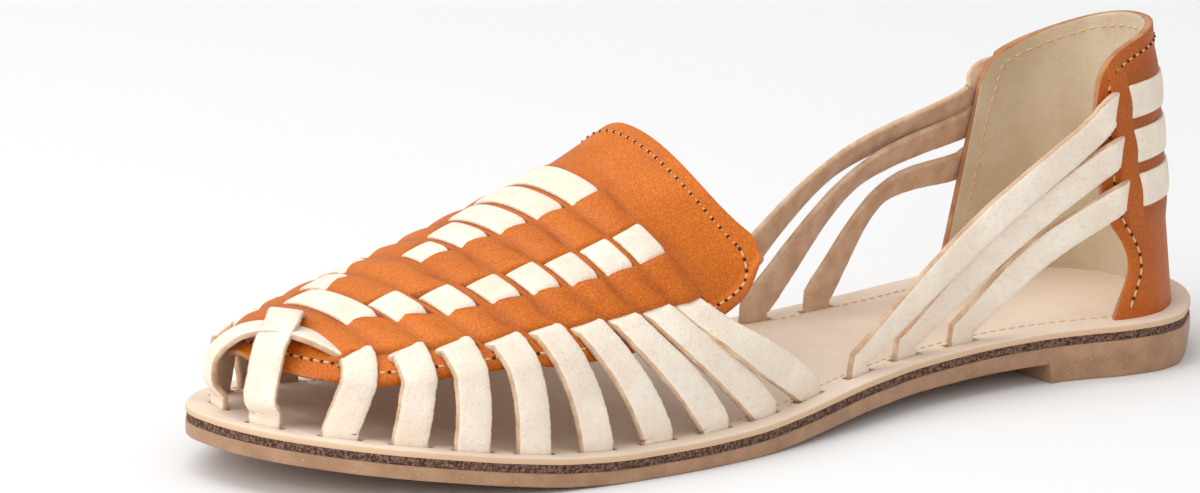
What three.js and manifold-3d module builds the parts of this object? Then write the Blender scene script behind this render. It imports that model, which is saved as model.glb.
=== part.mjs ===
// Huarache sandal, left shoe, about a women's EU 37.
// Millimetres, +X towards the toe, +Y towards the shoe's left (outer) side, +Z up.
import * as THREE from 'three';
import loadManifold from 'manifold-3d';

const wasm = await loadManifold();
wasm.setup();
const { Manifold, Mesh: SolidMesh } = wasm;

// Named sizes. The tables below hold shares of these.
const LENGTH = 242.5; // heel to toe along the insole
const BALL = 88; // across the ball of the sole
const COLLAR = 70; // ground to the rim of the heel counter
const INSTEP = 60; // ground to the top of the vamp's tab

// Sole layers.
const INSOLE = 1.5;
const MIDSOLE = 1.5;
const LAYER_GAP = 0.3;
const HEEL_FRONT = 0.212; // front of the heel block, share of LENGTH
const HEEL_SLANT = 2; // how far the breast leans forward
const HEEL_TAPER = 0.8; // how far the ground edge stands in from the side

// Leather.
const WALL = 2;
const STRAP_WIDTH = 7.6;
const STRAP_THICK = 1.8;
const WINDOW_WIDTH = 6.8; // strap seen through the slots of the vamp
const WINDOW_RISE = 0.5; // strap above the ridge of leather round it
const RIDGE = 1.4; // leather lifted by a strap beneath
const RIDGE_PITCH = 8.3; // from strap to strap along the vamp
const SLOT_CLEARANCE = 0.3;
const GROOVE_CLEARANCE = 0.5; // round the foot of the counter
const SLOT_END = 0.8; // slot beyond the strap's edge
const FOOT_UPRIGHT = 3; // height over which a strap stands upright above the insole
const FOOT_LIFT = 0.35; // foot of a strap or of the counter above the underside of the insole
const STRAP_BOW = { top: 0.42, foot: 0.4 }; // handles of a cross strap's bow, shares of its length
const STRAP_LIFT = 1.2; // middle of a cross strap above the leather it passes
const TUCK = 3; // how far a strap reaches back under the leather behind its slot
const QUARTER_WIDTH = 6.6;
const QUARTER_BOW = { lateral: 3.5, medial: 8 }; // upward bow of the quarter straps
const QUARTER_TILT = { lateral: 0.2, medial: 0.65 }; // inward lean of their upper edge
const RIM_MARGIN = 2.5; // rim to the middle of the first quarter strap at the counter's front edge
const EDGE_DROP = 2.4; // leather hanging straight down at the vamp's side edge
const FAN = 6.8; // how far the cross straps lean back at the vamp's edge
const FAN_REACH = 45; // distance from the ridge where they lean by FAN

// Ends of the vamp on its ridge, shares of LENGTH, and the rounding of its outline.
const TAB_END = 0.555;
const TIP_END = 0.968;
const TAB_ROUND = 10;
const TIP_ROUND = 14;

// Sole outline: at is a share of LENGTH, lateral and medial are shares of BALL.
const OUTLINE = [
  { at: 0, lateral: 0.057, medial: -0.011 },
  { at: 0.004, lateral: 0.108, medial: -0.074 },
  { at: 0.014, lateral: 0.173, medial: -0.136 },
  { at: 0.031, lateral: 0.243, medial: -0.199 },
  { at: 0.052, lateral: 0.303, medial: -0.25 },
  { at: 0.076, lateral: 0.355, medial: -0.29 },
  { at: 0.105, lateral: 0.375, medial: -0.312 },
  { at: 0.138, lateral: 0.368, medial: -0.318 },
  { at: 0.171, lateral: 0.343, medial: -0.314 },
  { at: 0.216, lateral: 0.316, medial: -0.301 },
  { at: 0.278, lateral: 0.305, medial: -0.286 },
  { at: 0.348, lateral: 0.32, medial: -0.284 },
  { at: 0.406, lateral: 0.357, medial: -0.302 },
  { at: 0.464, lateral: 0.4, medial: -0.334 },
  { at: 0.526, lateral: 0.442, medial: -0.382 },
  { at: 0.588, lateral: 0.47, medial: -0.439 },
  { at: 0.649, lateral: 0.48, medial: -0.489 },
  { at: 0.703, lateral: 0.475, medial: -0.518 },
  { at: 0.761, lateral: 0.459, medial: -0.525 },
  { at: 0.814, lateral: 0.431, medial: -0.511 },
  { at: 0.864, lateral: 0.385, medial: -0.475 },
  { at: 0.905, lateral: 0.328, medial: -0.424 },
  { at: 0.94, lateral: 0.255, medial: -0.364 },
  { at: 0.967, lateral: 0.17, medial: -0.3 },
  { at: 0.986, lateral: 0.085, medial: -0.239 },
  { at: 0.996, lateral: 0.006, medial: -0.188 },
  { at: 1, lateral: -0.057, medial: -0.142 },
];

// Sole seen from the side: top and bottom are shares of COLLAR.
const PROFILE = [
  { at: 0, top: 0.164, bottom: 0.061 },
  { at: 0.093, top: 0.164, bottom: 0.061 },
  { at: 0.216, top: 0.16, bottom: 0.061 },
  { at: 0.32, top: 0.15, bottom: 0.054 },
  { at: 0.423, top: 0.136, bottom: 0.041 },
  { at: 0.505, top: 0.11, bottom: 0.016 },
  { at: 0.567, top: 0.093, bottom: 0 },
  { at: 0.629, top: 0.089, bottom: 0 },
  { at: 0.703, top: 0.089, bottom: 0 },
  { at: 0.761, top: 0.099, bottom: 0.009 },
  { at: 0.814, top: 0.12, bottom: 0.03 },
  { at: 0.876, top: 0.149, bottom: 0.059 },
  { at: 0.938, top: 0.176, bottom: 0.086 },
  { at: 1, top: 0.201, bottom: 0.111 },
];

// Vamp surface: ridge, lateral edge and medial edge at each station (BALL and INSTEP shares).
const CROWN = [
  { at: 0.522, ridgeY: -0.131, ridgeZ: 1.06, latY: 0.301, latZ: 0.642, medY: -0.409, medZ: 0.567 },
  { at: 0.557, ridgeY: -0.125, ridgeZ: 0.998, latY: 0.312, latZ: 0.502, medY: -0.42, medZ: 0.433 },
  { at: 0.596, ridgeY: -0.123, ridgeZ: 0.922, latY: 0.333, latZ: 0.453, medY: -0.439, medZ: 0.377 },
  { at: 0.648, ridgeY: -0.118, ridgeZ: 0.828, latY: 0.359, latZ: 0.427, medY: -0.457, medZ: 0.357 },
  { at: 0.713, ridgeY: -0.101, ridgeZ: 0.745, latY: 0.377, latZ: 0.412, medY: -0.468, medZ: 0.353 },
  { at: 0.781, ridgeY: -0.086, ridgeZ: 0.663, latY: 0.373, latZ: 0.407, medY: -0.464, medZ: 0.362 },
  { at: 0.819, ridgeY: -0.085, ridgeZ: 0.62, latY: 0.347, latZ: 0.4, medY: -0.449, medZ: 0.367 },
  { at: 0.86, ridgeY: -0.085, ridgeZ: 0.57, latY: 0.301, latZ: 0.387, medY: -0.42, medZ: 0.372 },
  { at: 0.913, ridgeY: -0.09, ridgeZ: 0.515, latY: 0.205, latZ: 0.367, medY: -0.347, medZ: 0.367 },
  { at: 0.942, ridgeY: -0.095, ridgeZ: 0.482, latY: 0.102, latZ: 0.363, medY: -0.273, medZ: 0.365 },
  { at: 0.971, ridgeY: -0.102, ridgeZ: 0.433, latY: -0.045, latZ: 0.4, medY: -0.159, medZ: 0.4 },
];

// Cross straps, toe to instep. at: place on the ridge; slot, inner, outer, half: shares of BALL along
// the surface from the ridge to the edge slot, the side window and the end of the middle window.
const CROSS = [
  { at: 0.911, slot: 0.224, inner: 0, outer: 0, half: 0 },
  { at: 0.879, slot: 0.291, inner: 0, outer: 0, half: 0.136 },
  { at: 0.848, slot: 0.345, inner: 0.095, outer: 0.208, half: 0 },
  { at: 0.814, slot: 0.4, inner: 0.167, outer: 0.273, half: 0 },
  { at: 0.777, slot: 0.419, inner: 0.209, outer: 0.305, half: 0.042 },
  { at: 0.742, slot: 0.455, inner: 0.235, outer: 0.333, half: 0.07 },
  { at: 0.708, slot: 0.476, inner: 0.267, outer: 0.362, half: 0.105 },
  { at: 0.673, slot: 0.491, inner: 0.282, outer: 0.38, half: 0.128 },
  { at: 0.639, slot: 0.509, inner: 0.294, outer: 0.392, half: 0.15 },
];

// Feet of the cross straps in the same order: lat on the outer side, med on the inner side.
const CROSS_FEET = [
  { latX: 0.936, latY: 0.184, medX: 0.928, medY: -0.322 },
  { latX: 0.89, latY: 0.284, medX: 0.885, medY: -0.382 },
  { latX: 0.845, latY: 0.356, medX: 0.833, medY: -0.434 },
  { latX: 0.792, latY: 0.397, medX: 0.777, medY: -0.459 },
  { latX: 0.731, latY: 0.414, medX: 0.718, medY: -0.455 },
  { latX: 0.669, latY: 0.42, medX: 0.658, medY: -0.43 },
  { latX: 0.607, latY: 0.416, medX: 0.598, medY: -0.386 },
  { latX: 0.549, latY: 0.395, medX: 0.542, medY: -0.336 },
  { latX: 0.49, latY: 0.359, medX: 0.487, medY: -0.291 },
];

// Heel counter, lateral front round to medial front: foot of the wall, its rim and the rim height.
const CUP = [
  { footX: 0.142, footY: 0.323, rimX: 0.142, rimY: 0.239, rimZ: 0.786 },
  { footX: 0.129, footY: 0.331, rimX: 0.135, rimY: 0.231, rimZ: 0.871 },
  { footX: 0.113, footY: 0.333, rimX: 0.12, rimY: 0.219, rimZ: 0.933 },
  { footX: 0.091, footY: 0.323, rimX: 0.097, rimY: 0.202, rimZ: 0.966 },
  { footX: 0.071, footY: 0.291, rimX: 0.074, rimY: 0.184, rimZ: 0.984 },
  { footX: 0.053, footY: 0.245, rimX: 0.055, rimY: 0.155, rimZ: 0.996 },
  { footX: 0.039, footY: 0.186, rimX: 0.041, rimY: 0.111, rimZ: 1.003 },
  { footX: 0.03, footY: 0.114, rimX: 0.033, rimY: 0.061, rimZ: 1.004 },
  { footX: 0.026, footY: 0.03, rimX: 0.031, rimY: 0.007, rimZ: 1.001 },
  { footX: 0.028, footY: -0.061, rimX: 0.034, rimY: -0.048, rimZ: 0.991 },
  { footX: 0.039, footY: -0.136, rimX: 0.043, rimY: -0.101, rimZ: 0.974 },
  { footX: 0.056, footY: -0.195, rimX: 0.059, rimY: -0.145, rimZ: 0.951 },
  { footX: 0.079, footY: -0.241, rimX: 0.08, rimY: -0.181, rimZ: 0.923 },
  { footX: 0.107, footY: -0.267, rimX: 0.105, rimY: -0.205, rimZ: 0.889 },
  { footX: 0.136, footY: -0.278, rimX: 0.127, rimY: -0.22, rimZ: 0.841 },
  { footX: 0.167, footY: -0.282, rimX: 0.137, rimY: -0.232, rimZ: 0.763 },
];
// Toe straps, from the slot in the vamp to the foot: at is a share of LENGTH, y of BALL, z of INSTEP.
const TOE_UNDER = [
  { at: 0.908, y: 0.095, z: 0.458 },
  { at: 0.924, y: 0.044, z: 0.498 },
  { at: 0.938, y: -0.006, z: 0.52 },
  { at: 0.952, y: -0.068, z: 0.52 },
  { at: 0.964, y: -0.127, z: 0.483 },
  { at: 0.973, y: -0.175, z: 0.407 },
  { at: 0.973, y: -0.191, z: 0.317 },
  { at: 0.965, y: -0.185, z: 0.217 },
];
const TOE_OVER = [
  { at: 0.902, y: -0.132, z: 0.473 },
  { at: 0.913, y: -0.109, z: 0.523 },
  { at: 0.927, y: -0.066, z: 0.56 },
  { at: 0.942, y: -0.023, z: 0.55 },
  { at: 0.96, y: 0.002, z: 0.49 },
  { at: 0.971, y: 0.019, z: 0.403 },
  { at: 0.978, y: 0.03, z: 0.313 },
  { at: 0.973, y: 0.03, z: 0.222 },
];

// Quarter straps: height where each leaves the counter and its feet on the outer and the inner side.
const QUARTER = [
  { height: 0.793, latX: 0.421, latY: 0.307, medX: 0.441, medY: -0.25 },
  { height: 0.661, latX: 0.358, latY: 0.264, medX: 0.386, medY: -0.225 },
  { height: 0.529, latX: 0.293, latY: 0.252, medX: 0.319, medY: -0.215 },
];
const CUP_SLOT = { lateral: 1.7, medial: 13.7 }; // rows of CUP where the straps come out
const CUP_WINDOW = { lateral: [2.7, 7.1], medial: [8.9, 12.7] }; // rows of CUP between which they show
const CUP_BACK = 8; // row of CUP at the middle of the back
const CUP_RISE = 1.5; // how much higher the weave runs at the back
const CUP_HOLLOW = { depth: 5.3, height: 23, reach: 14, rows: 3 }; // hollow in the outer front edge

const VAMP_COLUMNS = 8; // facets from the ridge to each side edge
const GROOVE_REACH = 3; // groove cutter beyond the insole
const FACET_MERGE = 0.1; // facets that differ by less are merged

const COLOURS = {
  tan: { color: 0xcf7a35, roughness: 0.5, metalness: 0 },
  natural: { color: 0xe6d3bd, roughness: 0.75, metalness: 0 },
  dark: { color: 0x6b544b, roughness: 0.9, metalness: 0 },
  rubber: { color: 0xb8a389, roughness: 0.45, metalness: 0 },
};

// Monotone cubic through the rows of a table: returns value(at).
function curve(rows, column, key = 'at') {
  const n = rows.length;
  const x = rows.map((row, i) => (key === 'row' ? i : row[key]));
  const y = rows.map((row) => row[column]);
  const step = (i) => (y[i + 1] - y[i]) / (x[i + 1] - x[i]);
  const slope = y.map((_, i) => {
    if (i === 0) return step(0);
    if (i === n - 1) return step(n - 2);
    const before = step(i - 1);
    const after = step(i);
    return before * after > 0 ? (2 * before * after) / (before + after) : 0;
  });
  return (at) => {
    const t = Math.min(Math.max(at, x[0]), x[n - 1]);
    let i = 0;
    while (i < n - 2 && t > x[i + 1]) i += 1;
    const width = x[i + 1] - x[i];
    const u = (t - x[i]) / width;
    const rise = u * u * (3 - 2 * u);
    const leave = u * (1 - u) * (1 - u) * slope[i];
    const arrive = u * u * (u - 1) * slope[i + 1];
    return y[i] * (1 - rise) + y[i + 1] * rise + width * (leave + arrive);
  };
}

const lateralShare = curve(OUTLINE, 'lateral');
const medialShare = curve(OUTLINE, 'medial');
const topShare = curve(PROFILE, 'top');
const bottomShare = curve(PROFILE, 'bottom');
const insoleTop = (x) => topShare(x / LENGTH) * COLLAR;
const soleBottom = (x) => bottomShare(x / LENGTH) * COLLAR;

// Closed solid between two grids of points of the same size.
function shell(outer, inner) {
  const rows = outer.length;
  const columns = outer[0].length;
  const positions = [...outer.flat(), ...inner.flat()].flatMap((p) => [p.x, p.y, p.z]);
  const index = [];
  const quad = (a, b, c, d) => index.push(a, b, c, a, c, d);
  const o = (i, j) => i * columns + j;
  const k = (i, j) => (rows + i) * columns + j;
  for (let i = 0; i < rows - 1; i += 1) {
    for (let j = 0; j < columns - 1; j += 1) {
      quad(o(i, j), o(i + 1, j), o(i + 1, j + 1), o(i, j + 1));
      quad(k(i, j), k(i, j + 1), k(i + 1, j + 1), k(i + 1, j));
    }
    const last = columns - 1;
    quad(o(i, 0), k(i, 0), k(i + 1, 0), o(i + 1, 0));
    quad(o(i, last), o(i + 1, last), k(i + 1, last), k(i, last));
  }
  for (let j = 0; j < columns - 1; j += 1) {
    const last = rows - 1;
    quad(o(0, j), o(0, j + 1), k(0, j + 1), k(0, j));
    quad(o(last, j), k(last, j), k(last, j + 1), o(last, j + 1));
  }
  return outward(positions, index);
}

// Turns the faces round where the enclosed volume comes out negative.
function outward(positions, index) {
  const corner = (i) => new THREE.Vector3().fromArray(positions, 3 * index[i]);
  let volume = 0;
  for (let i = 0; i < index.length; i += 3) {
    volume += corner(i).dot(corner(i + 1).cross(corner(i + 2)));
  }
  if (volume < 0) index.reverse();
  const geometry = new THREE.BufferGeometry();
  geometry.setAttribute('position', new THREE.Float32BufferAttribute(positions, 3));
  geometry.setIndex(index);
  return geometry;
}

function toSolid(geometry) {
  const mesh = new SolidMesh({
    numProp: 3,
    vertProperties: new Float32Array(geometry.attributes.position.array),
    triVerts: new Uint32Array(geometry.index.array),
  });
  mesh.merge();
  return new Manifold(mesh);
}

function fromSolid(solid) {
  const mesh = solid.getMesh();
  const geometry = new THREE.BufferGeometry();
  geometry.setAttribute('position', new THREE.Float32BufferAttribute(mesh.vertProperties, 3));
  geometry.setIndex(new THREE.Uint32BufferAttribute(mesh.triVerts, 1));
  return geometry;
}

// The main body of a solid, without pinholes between crossing strips, its flattest facets merged.
function tidied(solid) {
  const main = (body) => body.decompose().sort((a, b) => b.volume() - a.volume())[0];
  return fromSolid(main(main(solid).simplify(FACET_MERGE)));
}

const joined = (geometries) => tidied(Manifold.union(geometries.map(toSolid)));
const cut = (geometry, tools) => tidied(toSolid(geometry)
  .subtract(Manifold.union(tools.map(toSolid))));

// Unit normals of a grid of points.
function gridNormals(grid) {
  const at = (i, j) => grid[Math.min(Math.max(i, 0), grid.length - 1)][
    Math.min(Math.max(j, 0), grid[0].length - 1)];
  return grid.map((row, i) => row.map((_, j) => {
    const along = at(i + 1, j).clone().sub(at(i - 1, j));
    const across = at(i, j + 1).clone().sub(at(i, j - 1));
    return along.cross(across).normalize();
  }));
}

const raised = (grid, normals, height) => grid.map((row, i) => row.map((p, j) => (
  p.clone().addScaledVector(normals[i][j], typeof height === 'number' ? height : height(i, j)))));

// Strip of leather along a line of points. Each point carries the direction of the strip's width.
function ribbon(points, width, thick) {
  const top = [];
  const bottom = [];
  points.forEach(({ p, w }, i) => {
    const before = points[Math.max(i - 1, 0)].p;
    const after = points[Math.min(i + 1, points.length - 1)].p;
    const along = after.clone().sub(before).normalize();
    const side = w.clone().addScaledVector(along, -w.dot(along)).normalize();
    const up = along.clone().cross(side).normalize();
    const edge = (s, h) => p.clone()
      .addScaledVector(side, (s * width) / 2)
      .addScaledVector(up, (h * thick) / 2);
    top.push([edge(-1, 1), edge(1, 1)]);
    bottom.push([edge(-1, -1), edge(1, -1)]);
  });
  return shell(top, bottom);
}

// Smooth line through the folds of a strap, with the width direction blended along it.
function strapLine(folds, pieces) {
  const line = new THREE.CatmullRomCurve3(folds.map(({ p }) => p), false, 'centripetal');
  const last = folds.length - 1;
  return Array.from({ length: pieces + 1 }, (_, i) => {
    const t = i / pieces;
    const k = Math.min(Math.floor(t * last), last - 1);
    const w = folds[k].w.clone().lerp(folds[k + 1].w, t * last - k).normalize();
    return { p: line.getPoint(t), w };
  });
}

// Direction of the sole's edge near a foot of a strap.
function edgeDirection(x, side) {
  const share = side > 0 ? lateralShare : medialShare;
  const reach = 2;
  const rise = (share((x + reach) / LENGTH) - share((x - reach) / LENGTH)) * BALL;
  return new THREE.Vector3(2 * reach, rise, 0).normalize();
}

// The last folds of a strap: it stands upright in its slot and ends just above the midsole.
function footFolds(x, y, w) {
  const top = insoleTop(x);
  const fold = (z) => ({ p: new THREE.Vector3(x, y, z), w });
  return { low: fold(top + FOOT_UPRIGHT), rest: [fold(top + 0.6), fold(top - INSOLE + FOOT_LIFT)] };
}

function sideFoot(row, side) {
  const x = (side > 0 ? row.latX : row.medX) * LENGTH;
  const y = (side > 0 ? row.latY : row.medY) * BALL;
  return footFolds(x, y, edgeDirection(x, side));
}

const withFoot = (folds, foot, pieces) => [
  ...strapLine([...folds, foot.low], pieces),
  ...foot.rest,
];

// Cutter for the slot round a strap's foot.
function slotCutter(x, y, w) {
  const across = new THREE.Vector3(-w.y, w.x, 0);
  const half = STRAP_WIDTH / 2 + SLOT_END;
  const depth = STRAP_THICK / 2 + SLOT_CLEARANCE;
  const level = (z) => [-1, 1].map((s) => [-1, 1].map((t) => new THREE.Vector3(x, y, z)
    .addScaledVector(w, s * half).addScaledVector(across, t * depth)));
  const top = insoleTop(x);
  return shell(level(top + 2), level(top - INSOLE - 2));
}

// Sole layers.
const stations = (() => {
  const own = OUTLINE.map((row) => row.at * LENGTH);
  return own.flatMap((x, i) => (i === 0 ? [x] : [(x + own[i - 1]) / 2, x]));
})();

function layer(top, bottom, inset = 0) {
  const level = (height, draw) => stations.map((x) => {
    const lateral = lateralShare(x / LENGTH) * BALL;
    const medial = medialShare(x / LENGTH) * BALL;
    const keep = Math.min(draw, (lateral - medial) / 2 - 1);
    const z = height(x);
    return [new THREE.Vector3(x, lateral - keep, z), new THREE.Vector3(x, medial + keep, z)];
  });
  return shell(level(top, 0), level(bottom, inset));
}

function heelBlock() {
  const front = HEEL_FRONT * LENGTH;
  const xs = [...stations.filter((x) => x < front - 2), front];
  const level = (z, inset, lean) => xs.map((x) => {
    const lateral = lateralShare(x / LENGTH) * BALL;
    const medial = medialShare(x / LENGTH) * BALL;
    const keep = Math.min(inset, (lateral - medial) / 2 - 1);
    const reach = x === front ? x + lean : x;
    const back = x === 0 ? inset : 0;
    return [lateral - keep, medial + keep].map((y) => new THREE.Vector3(reach + back, y, z));
  });
  return shell(level(soleBottom(front) + 1, 0, HEEL_SLANT), level(0, HEEL_TAPER, 0));
}

function makeOutsole() {
  const drop = INSOLE + MIDSOLE + 2 * LAYER_GAP;
  return joined([layer((x) => insoleTop(x) - drop, soleBottom), heelBlock()]);
}

function makeMidsole() {
  const drop = INSOLE + LAYER_GAP;
  return layer((x) => insoleTop(x) - drop, (x) => insoleTop(x) - drop - MIDSOLE);
}

// Where every strap stands in the insole: place and direction of its width.
function allFeet() {
  const feet = [];
  const add = (x, y, side) => feet.push({ x, y, w: edgeDirection(x, side) });
  [...CROSS_FEET, ...QUARTER].forEach((row) => {
    add(row.latX * LENGTH, row.latY * BALL, 1);
    add(row.medX * LENGTH, row.medY * BALL, -1);
  });
  [TOE_UNDER, TOE_OVER].forEach((rows) => {
    const foot = rows[rows.length - 1];
    const x = foot.at * LENGTH;
    const y = foot.y * BALL;
    feet.push({ x, y, w: toeWidth(x, y) });
  });
  return feet;
}

// At the toe a strap's width follows the rounded edge of the sole.
function toeWidth(x, y) {
  const middle = new THREE.Vector3(0.86 * LENGTH, -0.1 * BALL, 0);
  const out = new THREE.Vector3(x, y, 0).sub(middle).normalize();
  return new THREE.Vector3(-out.y, out.x, 0);
}

function makeInsole() {
  const plate = layer(insoleTop, (x) => insoleTop(x) - INSOLE);
  const slots = allFeet().map(({ x, y, w }) => slotCutter(x, y, w));
  return cut(plate, [...slots, cupGroove()]);
}

// Vamp surface.
const crown = Object.fromEntries(Object.keys(CROWN[0]).filter((key) => key !== 'at')
  .map((key) => [key, curve(CROWN, key)]));

function crownHeight(x, y) {
  const at = x / LENGTH;
  const ridgeY = crown.ridgeY(at) * BALL;
  const ridgeZ = crown.ridgeZ(at) * INSTEP;
  const outer = y >= ridgeY;
  const edgeY = (outer ? crown.latY(at) : crown.medY(at)) * BALL;
  const edgeZ = (outer ? crown.latZ(at) : crown.medZ(at)) * INSTEP;
  const u = Math.min((y - ridgeY) / (edgeY - ridgeY), 1);
  const fall = 0.5 * u * u + 0.5 * (1 - Math.sqrt(1 - (0.985 * u) ** 2));
  return ridgeZ - (ridgeZ - edgeZ) * fall;
}

// One cross-section of the vamp, measured along the leather from the ridge.
function crownSection(x, side) {
  const at = x / LENGTH;
  const ridgeY = crown.ridgeY(at) * BALL;
  const edgeY = (side > 0 ? crown.latY(at) : crown.medY(at)) * BALL;
  const steps = 30;
  const rows = [{ at: 0, y: ridgeY }];
  for (let i = 1; i <= steps; i += 1) {
    const y = ridgeY + ((edgeY - ridgeY) * i) / steps;
    const before = rows[i - 1];
    const run = Math.hypot(y - before.y, crownHeight(x, y) - crownHeight(x, before.y));
    rows.push({ at: before.at + run, y });
  }
  return { reach: rows[steps].at, y: curve(rows, 'y') };
}

const sectionCache = new Map();
function section(x, side) {
  const key = `${x.toFixed(3)} ${side}`;
  if (!sectionCache.has(key)) sectionCache.set(key, crownSection(x, side));
  return sectionCache.get(key);
}

// Point of the vamp: x on its ridge, distance along the leather (plus towards the outer side).
function vampPoint(x, distance) {
  const side = distance < 0 ? -1 : 1;
  const away = Math.abs(distance);
  const { reach, y: across } = section(x, side);
  const y = across(Math.min(away, reach));
  const back = x - FAN * (away / FAN_REACH) ** 3;
  return new THREE.Vector3(back, y, crownHeight(back, y) - Math.max(away - reach, 0));
}

// Distance to the vamp's own edge: the section's reach, rounded off towards both ends.
function vampReach(x, side) {
  const fromTab = Math.min((x - TAB_END * LENGTH) / TAB_ROUND, 1);
  const fromTip = Math.min((TIP_END * LENGTH - x) / TIP_ROUND, 1);
  const round = (share) => Math.sqrt(1 - (1 - share) ** 2);
  const tab = 0.8 + 0.2 * round(Math.max(fromTab, 0));
  const tip = 0.3 + 0.7 * round(Math.max(fromTip, 0));
  return (section(x, side).reach + EDGE_DROP) * tab * tip;
}

// Leather over the straps: one ridge along every cross strap, out to its edge slot.
function strapRidge(x, distance) {
  const row = CROSS.find(({ at }) => Math.abs(at * LENGTH - x) < RIDGE_PITCH / 2);
  if (!row) return 0;
  const reach = distance < 0 ? row.slot * BALL * sideScale(row.at * LENGTH) : row.slot * BALL;
  const across = Math.cos((Math.PI * (x - row.at * LENGTH)) / RIDGE_PITCH) ** 2;
  const fade = Math.min(Math.max((reach + 1 - Math.abs(distance)) / 3, 0), 1);
  return RIDGE * across * fade;
}

// The inner side is shorter along the leather than the outer side.
const sideScale = (x) => section(x, -1).reach / section(x, 1).reach;

function vampStations() {
  const xs = [];
  const step = RIDGE_PITCH / 4;
  const [front] = CROSS.map((row) => row.at * LENGTH);
  for (let x = front + 4 * step; x > TAB_END * LENGTH + step / 2; x -= step) xs.push(x);
  const tip = [0.25, 1, 2.4].map((inset) => TIP_END * LENGTH - inset)
    .filter((x) => x > front + 4 * step + 1.2);
  return [...tip, ...xs, TAB_END * LENGTH + 0.3];
}

function vampWall() {
  const xs = vampStations();
  const spread = (v) => Math.sign(v) * Math.abs(v) ** 0.95;
  const base = xs.map((x) => Array.from({ length: 2 * VAMP_COLUMNS + 1 }, (_, j) => {
    const v = (j - VAMP_COLUMNS) / VAMP_COLUMNS;
    return vampPoint(x, spread(v) * vampReach(x, v < 0 ? -1 : 1));
  }));
  const normals = gridNormals(base);
  const up = normals[xs.length >> 1][VAMP_COLUMNS].z > 0 ? 1 : -1;
  const ridge = (i, j) => {
    const v = (j - VAMP_COLUMNS) / VAMP_COLUMNS;
    return up * strapRidge(xs[i], spread(v) * vampReach(xs[i], v < 0 ? -1 : 1));
  };
  return shell(raised(base, normals, ridge), raised(base, normals, -up * WALL));
}

// Strap showing between two distances from the ridge.
function vampWindow(x, from, to) {
  const pieces = Math.max(2, Math.round(Math.abs(to - from) / 4.5));
  const grid = [-0.5, 0, 0.5].map((s) => Array.from({ length: pieces + 1 }, (_, j) => (
    vampPoint(x + s * WINDOW_WIDTH, from + ((to - from) * j) / pieces))));
  const normals = gridNormals(grid);
  const up = normals[1][0].z > 0 ? 1 : -1;
  const lift = (i) => up * (RIDGE * (i === 1 ? 1 : 0.75) + WINDOW_RISE);
  return shell(raised(grid, normals, lift), grid);
}

function vampWindows() {
  return CROSS.flatMap((row) => {
    const x = row.at * LENGTH;
    const scale = sideScale(x);
    const list = [];
    if (row.half) list.push(vampWindow(x, -row.half * BALL, row.half * BALL));
    if (row.outer) {
      list.push(vampWindow(x, row.inner * BALL, row.outer * BALL));
      list.push(vampWindow(x, -row.inner * BALL * scale, -row.outer * BALL * scale));
    }
    return list;
  });
}

// Fold of a strap at a height over the vamp, its width along the leather's length.
function foldOver(x, distance, height) {
  const w = vampPoint(x + 1, distance).sub(vampPoint(x - 1, distance)).normalize();
  const p = vampPoint(x, distance);
  const across = vampPoint(x, distance - Math.sign(distance)).sub(p);
  const normal = w.clone().cross(across).normalize();
  if (normal.z < 0) normal.negate();
  return { p: p.addScaledVector(normal, height), w };
}

// Sideways place of a cross strap's point, moved out where it would run inside the vamp.
function clearOfVamp(p, side) {
  const at = p.x / LENGTH;
  const edgeY = (side > 0 ? crown.latY(at) : crown.medY(at)) * BALL;
  const edgeZ = (side > 0 ? crown.latZ(at) : crown.medZ(at)) * INSTEP;
  if (p.x < TAB_END * LENGTH - FAN || p.z < edgeZ - EDGE_DROP) return p;
  const step = 0.2;
  while (side * (edgeY + side * STRAP_LIFT - p.y) > 0 && p.z < crownHeight(p.x, p.y) + STRAP_LIFT) {
    p.y += side * step;
  }
  return p;
}

// A cross strap on one side: out of the edge slot and in one bow over the vamp's edge to its foot.
function crossStrap(row, side) {
  const x = row.at * LENGTH;
  const slot = row.slot * BALL * (side > 0 ? 1 : sideScale(x));
  const foot = sideFoot(CROSS_FEET[CROSS.indexOf(row)], side);
  const leave = foldOver(x, side * (slot + 1.5), 0.9);
  const slope = vampPoint(x, side * section(x, side).reach).sub(vampPoint(x, side * slot));
  const way = foot.low.p.x - leave.p.x;
  const length = leave.p.distanceTo(foot.low.p);
  const out = slope.setX(0).setLength(STRAP_BOW.top * length).setX(way / 3);
  const down = new THREE.Vector3(-way / 3, 0, STRAP_BOW.foot * length);
  const bow = new THREE.CubicBezierCurve3(leave.p, leave.p.clone().add(out),
    foot.low.p.clone().add(down), foot.low.p);
  const pieces = 7;
  const line = Array.from({ length: pieces + 1 }, (_, i) => {
    const t = i / pieces;
    const p = bow.getPoint(t);
    return { p: i < pieces ? clearOfVamp(p, side) : p, w: leave.w.clone().lerp(foot.low.w, t).normalize() };
  });
  return ribbon([foldOver(x, side * (slot - TUCK), -0.8), ...line, ...foot.rest], STRAP_WIDTH, STRAP_THICK);
}

function toeStrap(rows) {
  const folds = rows.map((row) => new THREE.Vector3(row.at * LENGTH, row.y * BALL, row.z * INSTEP));
  const last = folds.length - 1;
  const w = toeWidth(folds[last].x, folds[last].y);
  const foot = footFolds(folds[last].x, folds[last].y, w);
  const lean = new THREE.Vector3(...(rows === TOE_UNDER ? [0.75, 0.66, 0] : [-0.5, 0.86, 0]));
  const line = folds.slice(0, last).map((p, i) => ({ p, w: lean.clone().lerp(w, i / last).normalize() }));
  return ribbon(withFoot(line, foot, 12), STRAP_WIDTH, STRAP_THICK);
}

function makeVamp() {
  const sides = CROSS.flatMap((row) => [crossStrap(row, 1), crossStrap(row, -1)]);
  return joined([vampWall(), ...vampWindows(), ...sides, toeStrap(TOE_UNDER), toeStrap(TOE_OVER)]);
}

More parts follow.
